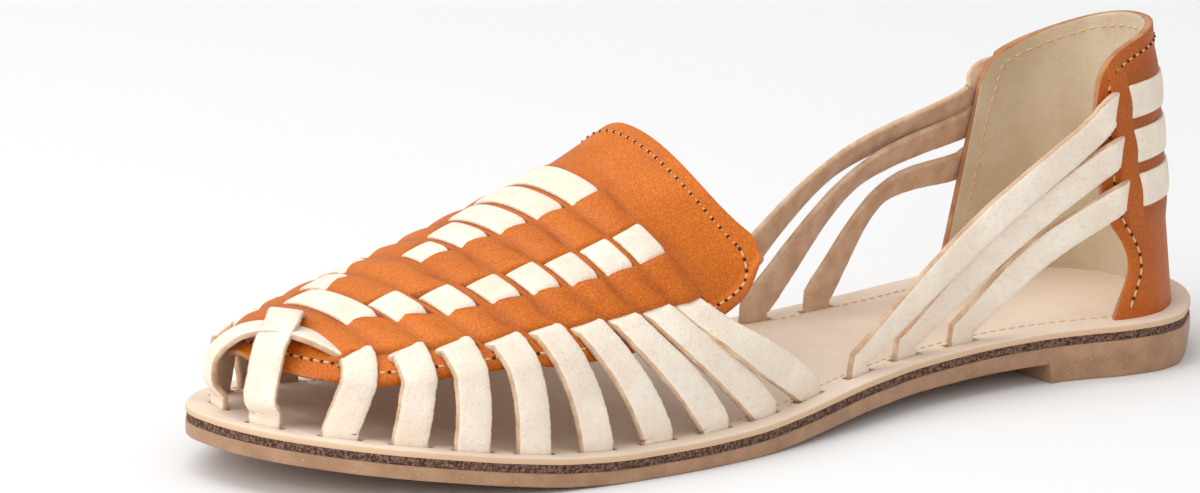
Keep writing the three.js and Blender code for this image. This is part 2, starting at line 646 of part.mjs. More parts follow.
// Heel counter surface: row of CUP and height above the ground.
const cup = Object.fromEntries(Object.keys(CUP[0]).map((key) => [key, curve(CUP, key, 'row')]));
const cupFoot = (row) => insoleTop(cup.footX(row) * LENGTH) - INSOLE + FOOT_LIFT;

function cupPoint(row, z) {
  const foot = cupFoot(row);
  const h = (z - foot) / (cup.rimZ(row) * COLLAR - foot);
  const x = THREE.MathUtils.lerp(cup.footX(row), cup.rimX(row), h) * LENGTH;
  const y = THREE.MathUtils.lerp(cup.footY(row), cup.rimY(row), h) * BALL;
  const near = Math.max(0, 1 - row / CUP_HOLLOW.rows);
  const level = Math.min(Math.abs(z - CUP_HOLLOW.height) / CUP_HOLLOW.reach, 1);
  const hollow = CUP_HOLLOW.depth * near * Math.cos((Math.PI * level) / 2) ** 2;
  return new THREE.Vector3(x - hollow, y, z);
}

// Height of a quarter strap's middle at a row of CUP: it climbs a little towards the back.
function weaveHeight(quarter, row) {
  const reach = row < CUP_BACK ? CUP_BACK : CUP.length - 1 - CUP_BACK;
  const back = 1 - Math.abs(row - CUP_BACK) / reach;
  return quarter.height * COLLAR + CUP_RISE * back;
}

function inWindow(row) {
  return [CUP_WINDOW.lateral, CUP_WINDOW.medial].some(([from, to]) => row > from && row < to);
}

function cupRidge(row, z) {
  if (row < CUP_SLOT.lateral - 0.2 || row > CUP_SLOT.medial + 0.2 || inWindow(row)) return 0;
  const lift = QUARTER.map((quarter) => {
    const off = Math.min(Math.abs(z - weaveHeight(quarter, row)) / (STRAP_WIDTH * 0.62), 1);
    return Math.cos((Math.PI * off) / 2) ** 2;
  });
  return RIDGE * Math.max(...lift);
}

function cupWall() {
  const columns = 36;
  const levels = 16;
  const last = CUP.length - 1;
  const place = Array.from({ length: columns + 1 }, (_, i) => {
    const row = (last * i) / columns;
    const foot = cupFoot(row);
    const rise = cup.rimZ(row) * COLLAR - foot;
    return Array.from({ length: levels + 1 }, (__, j) => ({ row, z: foot + (rise * j) / levels }));
  });
  const base = place.map((line) => line.map(({ row, z }) => cupPoint(row, z)));
  const normals = gridNormals(base);
  const out = cupOut(base, normals);
  const ridge = (i, j) => out * cupRidge(place[i][j].row, place[i][j].z);
  return shell(raised(base, normals, ridge), raised(base, normals, -out * WALL));
}

// Sign that turns grid normals away from the inside of the counter.
function cupOut(base, normals) {
  const p = base[0][0];
  const axis = new THREE.Vector3(0.13 * LENGTH, 0.03 * BALL, p.z);
  return normals[0][0].dot(p.clone().sub(axis)) > 0 ? 1 : -1;
}

function cupWindow(quarter, [from, to]) {
  const pieces = 9;
  const rows = Array.from({ length: pieces + 1 }, (_, i) => from + ((to - from) * i) / pieces);
  const grid = rows.map((row) => [-0.5, 0.5].map((s) => (
    cupPoint(row, weaveHeight(quarter, row) + s * STRAP_WIDTH * 0.92))));
  const normals = gridNormals(grid);
  const out = cupOut(grid, normals);
  return shell(raised(grid, normals, out * (RIDGE * 0.6)), raised(grid, normals, -out));
}

function quarterStrap(quarter, side) {
  const start = side > 0 ? CUP_SLOT.lateral : CUP_SLOT.medial;
  const end = side > 0 ? 0 : CUP.length - 1;
  const height = weaveHeight(quarter, start);
  const up = new THREE.Vector3(0, 0, 1);
  const foot = sideFoot(quarter, side);
  const out = (row, z, distance) => {
    const p = cupPoint(row, z);
    const along = cupPoint(row + 0.2, z).sub(cupPoint(row - 0.2, z));
    const normal = along.cross(up).normalize();
    if (normal.y * side < 0) normal.negate();
    return p.addScaledVector(normal, distance);
  };
  const behind = out(start + 0.8 * side, height, -0.9);
  const slot = out(start - 0.4 * side, height - 0.5, 0.8);
  const level = Math.min(height - 2, cup.rimZ(end) * COLLAR - RIM_MARGIN);
  const front = out(end, level, STRAP_THICK * 0.7);
  const run = foot.low.p.clone().sub(front);
  const tilt = side > 0 ? QUARTER_TILT.lateral : QUARTER_TILT.medial;
  const across = new THREE.Vector3(run.z, 0, -run.x).normalize().negate();
  if (across.z < 0) across.negate();
  across.setY(-side * tilt).normalize();
  const bow = side > 0 ? QUARTER_BOW.lateral : QUARTER_BOW.medial;
  const middle = front.clone().lerp(foot.low.p, 0.5).add(new THREE.Vector3(0, side * 1.5, bow));
  const folds = [
    { p: behind, w: up }, { p: slot, w: up },
    { p: front, w: across.clone().lerp(up, 0.5).normalize() }, { p: middle, w: across },
  ];
  return ribbon(withFoot(folds, foot, 12), QUARTER_WIDTH, STRAP_THICK);
}

// Groove in the insole that takes the foot of the counter.
function cupGroove() {
  const pieces = 30;
  const last = CUP.length - 1;
  const level = (z) => {
    const line = Array.from({ length: pieces + 1 }, (_, i) => {
      const row = (last * i) / pieces;
      return cupPoint(row, cupFoot(row)).setZ(z);
    });
    const ahead = (a, b) => a.clone().addScaledVector(a.clone().sub(b).normalize(), 1.5);
    return [ahead(line[0], line[1]), ...line, ahead(line[pieces], line[pieces - 1])];
  };
  const side = (z, outer) => {
    const line = level(z);
    return line.map((p, i) => {
      const along = line[Math.min(i + 1, line.length - 1)].clone().sub(line[Math.max(i - 1, 0)]);
      const out = new THREE.Vector3(along.y, -along.x, 0).normalize();
      const middle = new THREE.Vector3(0.13 * LENGTH, 0.03 * BALL, z);
      if (out.dot(p.clone().sub(middle)) < 0) out.negate();
      return p.clone().addScaledVector(out, outer ? GROOVE_CLEARANCE : -WALL - GROOVE_CLEARANCE);
    });
  };
  const top = insoleTop(0) + GROOVE_REACH;
  const bottom = insoleTop(0) - INSOLE - GROOVE_REACH;
  const grid = (z) => {
    const outer = side(z, true);
    const inner = side(z, false);
    return outer.map((p, i) => [p, inner[i]]);
  };
  return shell(grid(top), grid(bottom));
}

function makeCounter() {
  const windows = QUARTER.flatMap((quarter) => [
    cupWindow(quarter, CUP_WINDOW.lateral), cupWindow(quarter, CUP_WINDOW.medial)]);
  const straps = QUARTER.flatMap((quarter) => [quarterStrap(quarter, 1), quarterStrap(quarter, -1)]);
  return joined([cupWall(), ...windows, ...straps]);
}

function piece(name, geometry, look) {
  const mesh = new THREE.Mesh(geometry, new THREE.MeshStandardMaterial(COLOURS[look]));
  mesh.name = name;
  return mesh;
}

function makeSandal() {
  const sandal = new THREE.Group();
  sandal.name = 'huarache_sandal';
  sandal.add(piece('outsole', makeOutsole(), 'rubber'));
  sandal.add(piece('midsole', makeMidsole(), 'dark'));
  sandal.add(piece('insole', makeInsole(), 'natural'));
  sandal.add(piece('vamp', makeVamp(), 'tan'));
  sandal.add(piece('counter', makeCounter(), 'tan'));
  // Frame origin: middle of the box's underside.
  const box = new THREE.Box3().setFromObject(sandal);
  const middle = box.getCenter(new THREE.Vector3());
  sandal.children.forEach((mesh) => mesh.geometry.translate(-middle.x, -middle.y, -box.min.z));
  return sandal;
}

export default makeSandal();
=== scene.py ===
import math

import bpy
from mathutils import Matrix, Vector


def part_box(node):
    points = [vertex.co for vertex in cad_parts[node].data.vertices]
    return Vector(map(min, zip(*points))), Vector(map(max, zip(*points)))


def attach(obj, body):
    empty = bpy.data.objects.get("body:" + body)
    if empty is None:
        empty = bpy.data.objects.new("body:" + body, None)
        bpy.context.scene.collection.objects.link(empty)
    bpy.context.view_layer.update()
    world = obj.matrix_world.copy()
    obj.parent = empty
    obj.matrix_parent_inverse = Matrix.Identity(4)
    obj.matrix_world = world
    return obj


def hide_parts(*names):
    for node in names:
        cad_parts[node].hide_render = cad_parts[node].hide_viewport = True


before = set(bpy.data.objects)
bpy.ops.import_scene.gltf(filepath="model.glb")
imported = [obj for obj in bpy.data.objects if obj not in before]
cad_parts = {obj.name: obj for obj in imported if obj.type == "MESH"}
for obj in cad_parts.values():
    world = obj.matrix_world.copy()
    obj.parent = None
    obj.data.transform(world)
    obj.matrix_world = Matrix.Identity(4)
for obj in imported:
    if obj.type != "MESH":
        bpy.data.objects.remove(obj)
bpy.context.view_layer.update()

# Sizes in millimetres: X from the heel to the toe, Y towards the outer side (side 1, the inner
# one is side -1), Z up from the ground. Tables hold shares of LENGTH, BALL, COLLAR or INSTEP.
MM = 0.001
LENGTH = 242.5
BALL = 88.0
COLLAR = 70.0
INSTEP = 60.0
INSOLE = 1.5
MIDSOLE = 1.5
LAYER_GAP = 0.3
HEEL_FRONT = 0.212 * LENGTH
HEEL_TAPER = 0.8
STRAP_WIDTH = 7.6
STRAP_THICK = 1.6
QUARTER_WIDTH = 6.6
QUARTER_BOW = {1: 3.5, -1: 8.0}
WINDOW_WIDTH = 6.9
SLOT_HALF = WINDOW_WIDTH / 2
PASSAGE_GAP = 0.13
SLOT_LIMIT = 0.93
SLOT_ROOM = (0.8, 0.28)
GROOVE = (0.45, 2.3)
VAMP_WALL, CUP_WALL = 1.3, 1.8
WINDOW_RISE = {"vamp": 1.55, "counter": 1.3}
WINDOW_THICK = {"vamp": 1.55, "counter": 1.5}
FRAY = (0.012, 0.01)
PRESSED = -0.25
HUMP = 0.65
LEVEL = 0.75
LEVEL_FADE = 3.5
EDGE_DROP = 2.4
FAN = 6.8
FAN_REACH = 45.0
TAB_END = 0.555 * LENGTH
TIP_END = 0.968 * LENGTH
TAB_ROUND = 10.0
TIP_ROUND = 14.0
# A cross strap's bow: how far its ends point, its steps and its rounds of smoothing. It starts
# with (way past the slot, height over the vamp), and FOOT_STEPS are heights over the insole.
BOW_TOP, BOW_FOOT = 0.42, 0.4
BOW_STEPS, BOW_SMOOTHING = 40, 12
BOW_START = ((-3, -1.7), (-0.9, -0.8), (1.5, 0.85))
FOOT_STEPS = (1.2, 0.2, -0.6, -1.05)
STRAP_LIFT = 1.1
QUARTER_TILT = {1: 0.2, -1: 0.65}
RIM_MARGIN = 2.5
END_PITCH = 4.1
EDGE = 4
VAMP_STEPS = (9, 12, 9, 8, 7)
# Painted shade in the leather's creases, slots and hollows: how dark it is, by place.
SHADE = {"valley": 0.3, "beneath": 0.9, "slot": 0.8, "beside": 0.2, "edge_slot": 0.5,
         "edge": 0.1, "pucker": 0.35, "counter": 0.3}
STITCH_INSET = 3.0
STITCH = {"Pitch": 2.4, "Length": 1.75, "Width": 0.5, "Start": 0}
# Sizes of the dark beads of painted shade in the needle holes.
HOLE_SHADE = {"Pitch": 2.4, "Length": 0.85, "Width": 0.75, "Start": 1.2}
LONGEST_LINE = 10.0
# The camera that the photo was taken from, in metres, and the light.
CAMERA_PLACE = (1.4116231, 1.8324741, 0.5966719)
CAMERA_LOOK = (-0.5858821, -0.7751016, -0.2365581)
CAMERA_ROLL = 0.0085979
CAMERA_LENS = 342.64
WORLD_LIGHT = 0.66


class Table:
    """Rows of named columns, read through a monotone cubic."""

    def __init__(self, columns, *rows):
        self.columns = columns.split()
        self.rows = rows

    def values(self, column):
        return [row[self.columns.index(column)] for row in self.rows]

    def curve(self, column, key=None):
        """A column against another one, or against the number of the row."""
        return cubic(self.values(key) if key else list(range(len(self.rows))), self.values(column))


def cubic(xs, ys):
    """Monotone cubic through points, held level past its ends."""
    last = len(xs) - 1
    steps = [(ys[i + 1] - ys[i]) / (xs[i + 1] - xs[i]) for i in range(last)]
    slopes = [steps[0]]
    for before, after in zip(steps, steps[1:]):
        slopes.append(2 * before * after / (before + after) if before * after > 0 else 0.0)
    slopes.append(steps[-1])

    def value(at):
        t = min(max(at, xs[0]), xs[last])
        i = 0
        while i < last - 1 and t > xs[i + 1]:
            i += 1
        width = xs[i + 1] - xs[i]
        u = (t - xs[i]) / width
        rise = u * u * (3 - 2 * u)
        bend = u * (1 - u) ** 2 * slopes[i] + u * u * (u - 1) * slopes[i + 1]
        return ys[i] * (1 - rise) + ys[i + 1] * rise + width * bend

    return value


OUTLINE = Table(
    "at lateral medial",
    (0, 0.057, -0.011), (0.004, 0.108, -0.074), (0.014, 0.173, -0.136), (0.031, 0.243, -0.199),
    (0.052, 0.303, -0.25), (0.076, 0.355, -0.29), (0.105, 0.375, -0.312), (0.138, 0.368, -0.318),
    (0.171, 0.343, -0.314), (0.216, 0.316, -0.301), (0.278, 0.305, -0.286), (0.348, 0.32, -0.284),
    (0.406, 0.357, -0.302), (0.464, 0.4, -0.334), (0.526, 0.442, -0.382), (0.588, 0.47, -0.439),
    (0.649, 0.48, -0.489), (0.703, 0.475, -0.518), (0.761, 0.459, -0.525), (0.814, 0.431, -0.511),
    (0.864, 0.385, -0.475), (0.905, 0.328, -0.424), (0.94, 0.255, -0.364), (0.967, 0.17, -0.3),
    (0.986, 0.085, -0.239), (0.996, 0.006, -0.188), (1, -0.057, -0.142))
PROFILE = Table(
    "at top bottom",
    (0, 0.164, 0.061), (0.093, 0.164, 0.061), (0.216, 0.16, 0.061), (0.32, 0.15, 0.054),
    (0.423, 0.136, 0.041), (0.505, 0.11, 0.016), (0.567, 0.093, 0), (0.629, 0.089, 0),
    (0.703, 0.089, 0), (0.761, 0.099, 0.009), (0.814, 0.12, 0.03), (0.876, 0.149, 0.059),
    (0.938, 0.176, 0.086), (1, 0.201, 0.111))
CROWN = Table(
    "at ridge_y ridge_z lat_y lat_z med_y med_z",
    (0.522, -0.131, 1.06, 0.301, 0.642, -0.409, 0.567),
    (0.557, -0.125, 0.998, 0.312, 0.502, -0.42, 0.433),
    (0.596, -0.123, 0.922, 0.333, 0.453, -0.439, 0.377),
    (0.648, -0.118, 0.828, 0.359, 0.427, -0.457, 0.357),
    (0.713, -0.101, 0.745, 0.377, 0.412, -0.468, 0.353),
    (0.781, -0.086, 0.663, 0.373, 0.407, -0.464, 0.362),
    (0.819, -0.085, 0.62, 0.347, 0.4, -0.449, 0.367),
    (0.86, -0.085, 0.57, 0.301, 0.387, -0.42, 0.372),
    (0.913, -0.09, 0.515, 0.205, 0.367, -0.347, 0.367),
    (0.942, -0.095, 0.482, 0.102, 0.363, -0.273, 0.365),
    (0.971, -0.102, 0.433, -0.045, 0.4, -0.159, 0.4))
# Cross straps from toe to instep. The middle columns are distances along the leather from the
# ridge, in shares of BALL; over says between which of them the strap lies on the leather.
CROSS = Table(
    "at half inner outer slot lat_x lat_y med_x med_y over",
    (0.911, 0.017, 0.045, 0.102, 0.224, 0.936, 0.184, 0.928, -0.322, ""),
    (0.879, 0.034, 0.068, 0.136, 0.291, 0.89, 0.284, 0.885, -0.382, "bar"),
    (0.848, 0.034, 0.095, 0.208, 0.345, 0.845, 0.356, 0.833, -0.434, "side"),
    (0.814, 0.034, 0.167, 0.273, 0.4, 0.792, 0.397, 0.777, -0.459, "side"),
    (0.777, 0.042, 0.209, 0.305, 0.419, 0.731, 0.414, 0.718, -0.455, "side middle"),
    (0.742, 0.07, 0.235, 0.333, 0.455, 0.669, 0.42, 0.658, -0.43, "side middle"),
    (0.708, 0.105, 0.267, 0.362, 0.476, 0.607, 0.416, 0.598, -0.386, "side middle"),
    (0.673, 0.128, 0.282, 0.38, 0.491, 0.549, 0.395, 0.542, -0.336, "side middle"),
    (0.639, 0.15, 0.294, 0.392, 0.509, 0.49, 0.359, 0.487, -0.291, "side middle"))
CUP = Table(
    "foot_x foot_y rim_x rim_y rim_z",
    (0.142, 0.323, 0.142, 0.239, 0.786), (0.129, 0.331, 0.135, 0.231, 0.871),
    (0.113, 0.333, 0.12, 0.219, 0.933), (0.091, 0.323, 0.097, 0.202, 0.966),
    (0.071, 0.291, 0.074, 0.184, 0.984), (0.053, 0.245, 0.055, 0.155, 0.996),
    (0.039, 0.186, 0.041, 0.111, 1.003), (0.03, 0.114, 0.033, 0.061, 1.004),
    (0.026, 0.03, 0.031, 0.007, 1.001), (0.028, -0.061, 0.034, -0.048, 0.991),
    (0.039, -0.136, 0.043, -0.101, 0.974), (0.056, -0.195, 0.059, -0.145, 0.951),
    (0.079, -0.241, 0.08, -0.181, 0.923), (0.107, -0.267, 0.105, -0.205, 0.889),
    (0.136, -0.278, 0.127, -0.22, 0.841), (0.167, -0.282, 0.137, -0.232, 0.763))
TOE_UNDER = Table(
    "at y z",
    (0.908, 0.095, 0.458), (0.924, 0.044, 0.498), (0.938, -0.006, 0.52), (0.952, -0.068, 0.52),
    (0.964, -0.127, 0.483), (0.973, -0.175, 0.407), (0.973, -0.191, 0.317), (0.965, -0.185, 0.217))
TOE_OVER = Table(
    "at y z",
    (0.902, -0.132, 0.473), (0.913, -0.109, 0.523), (0.927, -0.066, 0.56), (0.942, -0.023, 0.55),
    (0.96, 0.002, 0.49), (0.971, 0.019, 0.403), (0.978, 0.03, 0.313), (0.973, 0.03, 0.222))
# Soft creases of the vamp's leather: place, half length, half width, depth and turn in degrees.
PUCKERS = Table(
    "x distance length width depth turn",
    (150.6, 19.0, 5.0, 1.1, 0.45, 14), (149.2, 33.0, 6.0, 1.2, 0.4, -18),
    (147.5, 9.0, 6.5, 1.4, 0.35, 8), (158.6, 20.5, 4.5, 1.0, 0.45, -16),
    (167.2, 18.0, 4.2, 1.1, 0.4, 12), (175.9, 14.5, 4.4, 1.0, 0.45, -10),
    (184.6, 12.0, 4.0, 1.1, 0.4, 16), (193.4, 9.5, 4.6, 1.2, 0.45, -12),
    (201.6, 15.0, 4.8, 1.1, 0.35, 18), (152.0, 39.5, 3.4, 1.0, 0.4, 12),
    (160.4, 38.5, 3.2, 0.9, 0.4, -14), (168.0, 37.0, 3.4, 1.0, 0.45, 10),
    (177.0, 35.0, 3.2, 0.9, 0.35, -12), (185.0, 33.0, 3.0, 1.0, 0.45, 14),
    (194.0, 31.0, 3.2, 0.9, 0.4, -10), (203.5, 26.0, 3.0, 1.0, 0.4, 12),
    (212.0, 17.0, 4.0, 1.2, 0.35, -16), (151.0, -20.0, 5.0, 1.1, 0.4, -12),
    (159.4, -19.0, 4.4, 1.0, 0.4, 14), (168.4, -17.0, 4.2, 1.1, 0.4, -10),
    (176.4, -14.0, 4.2, 1.0, 0.4, 12), (152.4, -37.0, 3.4, 1.0, 0.4, -12),
    (169.0, -35.0, 3.2, 1.0, 0.4, 12), (186.0, -31.0, 3.2, 1.0, 0.4, -12),
    (154.0, 30.0, 2.2, 4.0, -0.2, 0), (171.0, 27.5, 2.2, 4.0, -0.2, 0),
    (188.0, 22.0, 2.2, 4.0, -0.2, 0))
QUARTER = Table(
    "height lat_x lat_y med_x med_y",
    (0.793, 0.421, 0.307, 0.441, -0.25), (0.661, 0.358, 0.264, 0.386, -0.225),
    (0.529, 0.293, 0.252, 0.319, -0.215))
CUP_SLOT = {1: 1.7, -1: 13.7}
CUP_WINDOW = {1: (2.7, 7.1), -1: (8.9, 12.7)}
CUP_BACK = 8.0
INSOLE_TOP_HEEL = 11.5
CUP_RISE = 1.5
CUP_LIFT = 0.6
CUP_END = len(CUP.rows) - 1
CUP_SLOT_HALF = STRAP_WIDTH * 0.46
ROW_GAP = 0.012
WEAVE_MARGIN = 5.2
CORNER = 3
CUP_MIDDLE = (0.13 * LENGTH, 0.03 * BALL)
TOE_MIDDLE = (0.86 * LENGTH, -0.1 * BALL)
CENTRES = [row[0] * LENGTH for row in CROSS.rows]
CUP_HOLLOW = {"depth": 5.3, "height": 23.0, "reach": 14.0, "rows": 3.0}

lateral_share = OUTLINE.curve("lateral", "at")
medial_share = OUTLINE.curve("medial", "at")
top_share = PROFILE.curve("top", "at")
bottom_share = PROFILE.curve("bottom", "at")
crown = {name: CROWN.curve(name, "at") for name in CROWN.columns[1:]}
cup = {name: CUP.curve(name) for name in CUP.columns}
back_first = Table(" ".join(CROSS.columns), *reversed(CROSS.rows))
knot_curves = {name: back_first.curve(name, "at") for name in ("half", "inner", "outer", "slot")}
low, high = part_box("insole")
widest = max(row[1] for row in OUTLINE.rows) * BALL
SHIFT = Vector((low[0] / MM, high[1] / MM - widest, 0.0))


def insole_top(x):
    return top_share(x / LENGTH) * COLLAR


def sole_bottom(x):
    return bottom_share(x / LENGTH) * COLLAR


def clamp(value, least=0.0, most=1.0):
    return min(max(value, least), most)


def sign(value):
    return -1.0 if value < 0 else 1.0


def spaced(start, end, steps):
    """Values from start to end in even steps."""
    return [start + (end - start) * i / steps for i in range(steps + 1)]


def eased(start, end, steps):
    """Values from start to end, closer together at both ends."""
    return [start + (end - start) * (1 - math.cos(math.pi * i / steps)) / 2
            for i in range(steps + 1)]


def place(name, data):
    """An object of its own in the scene."""
    made = bpy.data.objects.new(name, data)
    bpy.context.scene.collection.objects.link(made)
    return made


def apply_steps(piece):
    """The piece's mesh as its modifiers leave it."""
    graph = bpy.context.evaluated_depsgraph_get()
    mesh = bpy.data.meshes.new_from_object(piece.evaluated_get(graph), depsgraph=graph)
    piece.modifiers.clear()
    piece.data = mesh


# ---- camera, floor and light

def make_camera():
    look = Vector(CAMERA_LOOK).normalized()
    right = look.cross(Vector((0, 0, 1))).normalized()
    up = right.cross(look)
    along, aside = math.cos(CAMERA_ROLL), math.sin(CAMERA_ROLL)
    across = right * along + up * aside
    upward = up * along - right * aside
    data = bpy.data.cameras.new("camera")
    data.lens = CAMERA_LENS
    data.sensor_width = 36.0
    data.clip_end = 20.0
    camera = place("camera", data)
    matrix = Matrix((across, upward, -look)).transposed().to_4x4()
    matrix.translation = Vector(CAMERA_PLACE)
    camera.matrix_world = matrix
    bpy.context.scene.camera = camera


def softbox(name, spot, aim_height, size, power):
    """Square lamp at a spot, aimed at a height over the middle of the floor."""
    data = bpy.data.lights.new(name, "AREA")
    data.shape = "RECTANGLE"
    data.size = data.size_y = size
    data.energy = power
    lamp = place(name, data)
    lamp.location = spot
    aim = Vector((0, 0, aim_height)) - Vector(spot)
    lamp.rotation_euler = aim.to_track_quat("-Z", "Y").to_euler()


def make_light():
    scene = bpy.context.scene
    scene.view_settings.view_transform = "Standard"
    world = bpy.data.worlds.new("studio")
    world.use_nodes = True
    background = world.node_tree.nodes["Background"].inputs
    background["Color"].default_value = (1.0, 1.0, 1.0, 1.0)
    background["Strength"].default_value = WORLD_LIGHT
    scene.world = world
    softbox("overhead", (0.4, -0.3, 1.3), aim_height=0.02, size=1.2, power=9.5)
    softbox("front_left", (1.5, 0.1, 0.8), aim_height=0.03, size=0.9, power=9)
    softbox("beside_camera", (0.9, 1.3, 0.7), aim_height=0.03, size=0.6, power=3)


# ---- shader maths

def add_node(tree, kind, inputs, **settings):
    """A node with its settings and inputs, each a value or another node's output."""
    made = tree.nodes.new(kind)
    for key, value in settings.items():
        setattr(made, key, value)
    for key, value in inputs.items():
        source = value.output if isinstance(value, Socket) else value
        if isinstance(source, bpy.types.NodeSocket):
            tree.links.new(source, made.inputs[key])
        else:
            made.inputs[key].default_value = source
    return made


class Socket:
    """A node's output in a finish. Arithmetic on it adds Math nodes."""

    def __init__(self, finish, output):
        self.finish = finish
        self.output = output

    def math(self, operation, first, second):
        return self.finish.node("ShaderNodeMath", {0: first, 1: second}, operation=operation)

    def __add__(self, other):
        return self.math("ADD", self, other)

    def __sub__(self, other):
        return self.math("SUBTRACT", self, other)

    def __rsub__(self, other):
        return self.math("SUBTRACT", other, self)

    def __mul__(self, other):
        return self.math("MULTIPLY", self, other)

    __radd__ = __add__

    def step(self, zero, one):
        """0 up to one end, 1 from the other, smooth between."""
        values = {"Value": self, "From Min": zero, "From Max": one}
        return self.finish.node("ShaderNodeMapRange", values, interpolation_type="SMOOTHSTEP")


class Finish:
    """A procedural material."""

    def __init__(self, name, **constants):
        self.material = bpy.data.materials.new(name)
        self.material.use_nodes = True
        self.tree = self.material.node_tree
        self.shader = self.tree.nodes["Principled BSDF"]
        for socket, value in constants.items():
            self.shader.inputs[socket.replace("_", " ")].default_value = value
        self.place = self.node("ShaderNodeTexCoord", {}, "Object")

    def node(self, kind, inputs, output=0, **settings):
        return Socket(self, add_node(self.tree, kind, inputs, **settings).outputs[output])

    def attribute(self, name):
        return self.node("ShaderNodeAttribute", {}, "Fac", attribute_name=name)

    def stretched(self, scale):
        return self.node("ShaderNodeMapping", {"Vector": self.place, "Scale": scale})

    def noise(self, scale, detail=3.0, roughness=0.5, vector=None):
        values = {"Scale": scale, "Detail": detail, "Roughness": roughness}
        return self.node("ShaderNodeTexNoise", {"Vector": vector or self.place, **values})

    def cells(self, scale, feature="F1"):
        values = {"Vector": self.place, "Scale": scale}
        return self.node("ShaderNodeTexVoronoi", values, "Distance", feature=feature)

    def mix(self, share, first, second):
        """A mix of two colours, each three numbers or a socket."""
        inputs = {0: share}
        for index, color in ((6, first), (7, second)):
            inputs[index] = color if isinstance(color, Socket) else (*color, 1.0)
        return self.node("ShaderNodeMix", inputs, 2, data_type="RGBA")

    def paint(self, color, roughness, height=None, distance=0.0, strength=0.0):
        """Links colour, roughness and a bump of this height, and gives the material."""
        links = {"Base Color": color, "Roughness": roughness}
        if height:
            bump = {"Height": height, "Distance": distance, "Strength": strength}
            links["Normal"] = self.node("ShaderNodeBump", bump)
        for name, value in links.items():
            self.tree.links.new(value.output, self.shader.inputs[name])
        return self.material


def srgb(*levels):
    """Linear colour from levels of 0 to 255."""
    return tuple(((c / 255 + 0.055) / 1.055) ** 2.4 if c > 10 else c / 3294.6 for c in levels)


def tan_leather(name, depth):
    """Smooth tan leather; depth darkens all of it as painted shade."""
    f = Finish(name, Coat_Weight=0.05, Coat_Roughness=0.35, Specular_IOR_Level=0.28)
    patches, fine, grain = f.noise(55, 4, 0.55), f.noise(900, 3, 0.6), f.noise(2300, 2, 0.6)
    color = f.mix(patches.step(0.35, 0.68), srgb(198, 98, 12), srgb(212, 112, 20))
    color = f.mix(fine.step(0.45, 0.75) * 0.25, color, srgb(176, 78, 10))
    color = f.mix(grain.step(0.5, 0.66) * 0.4, color, srgb(226, 140, 48))
    color = f.mix((1 - grain.step(0.34, 0.5)) * 0.4, color, srgb(158, 70, 10))
    # Painted shade: depth darkens the whole leather evenly.
    color = f.mix(depth, color, srgb(128, 50, 14))
    # Painted shade in the creases, slots and hollows, broken up by noise.
    shade_mottle = 0.4 + f.noise(150, 2, 0.5) * 0.9
    color = f.mix(f.attribute("crease") * shade_mottle, color, srgb(104, 40, 12))
    pores = f.cells(1500, "DISTANCE_TO_EDGE")
    height = pores * 0.6 + fine * 0.7 + grain * 0.5 + f.noise(260, 2) * 1.2
    return f.paint(color, 0.44 + patches * 0.08 + fine * 0.06, height, 0.00018, 0.6)


def strap_leather():
    f = Finish("strap_leather", Specular_IOR_Level=0.35)
    patches = f.noise(90, 4, 0.6)
    fine = f.noise(1400, 3, 0.65, f.stretched((0.5, 1.0, 1.0)))
    cut = (f.attribute("edge") + (fine - 0.5) * 0.2).step(0.93, 1.03)
    color = f.mix(patches.step(0.35, 0.7), srgb(238, 222, 203), srgb(248, 236, 220))
    color = f.mix(fine.step(0.48, 0.78) * 0.45, color, srgb(220, 190, 160))
    color = f.mix(cut * 0.5, color, srgb(198, 152, 112))
    return f.paint(color, 0.62 + fine * 0.15, fine * 0.8 + f.cells(1500) * 0.7, 0.00022, 0.6)


def raw_leather(name, light, dark):
    f = Finish(name, Specular_IOR_Level=0.15, Sheen_Weight=0.25, Sheen_Roughness=0.6)
    fibres, patches = f.noise(1900, 4, 0.75), f.noise(240, 3, 0.6)
    color = f.mix(patches.step(0.3, 0.7), dark, light)
    color = f.mix(fibres.step(0.45, 0.75) * 0.45, color, light)
    return f.paint(color, 0.86 + fibres * 0.1, fibres + patches * 0.4, 0.0005, 0.8)


def insole_leather():
    f = Finish("insole_leather", Specular_IOR_Level=0.3)
    patches, fine = f.noise(30, 5, 0.6), f.noise(1200, 3, 0.6)
    color = f.mix(patches.step(0.3, 0.7), srgb(222, 200, 180), srgb(234, 215, 196))
    color = f.mix(fine.step(0.55, 0.8) * 0.25, color, srgb(205, 178, 150))
    color = f.mix(f.attribute("edge") * 0.7, color, srgb(214, 172, 128))
    return f.paint(color, 0.66 + fine * 0.12, fine + f.cells(900) * 0.4, 0.00012, 0.5)


def speckled_board():
    f = Finish("speckled_board", Specular_IOR_Level=0.2)
    grains, spots = f.cells(1300), f.noise(1500, 2, 0.7)
    color = f.mix(spots.step(0.42, 0.6), srgb(72, 50, 42), srgb(128, 98, 84))
    color = f.mix(grains.step(0.35, 0.12) * 0.5, color, srgb(176, 140, 116))
    return f.paint(color, 0.85 + spots * 0.1, grains + spots, 0.0003, 0.8)


def beige_rubber():
    f = Finish("beige_rubber", Specular_IOR_Level=0.5, Subsurface_Weight=0.18,
               Subsurface_Scale=0.004)
    glints, cloud = f.cells(620), f.noise(140, 4, 0.6)
    color = f.mix(cloud.step(0.3, 0.7), srgb(158, 120, 90), srgb(180, 140, 108))
    color = f.mix(f.noise(1500, 2).step(0.6, 0.75) * 0.5, color, srgb(120, 90, 66))
    color = f.mix(1 - glints.step(0.05, 0.1), color, srgb(216, 190, 160))
    return f.paint(color, 0.38 + cloud * 0.15, glints * -1 + f.noise(420, 2), 0.00025, 0.5)


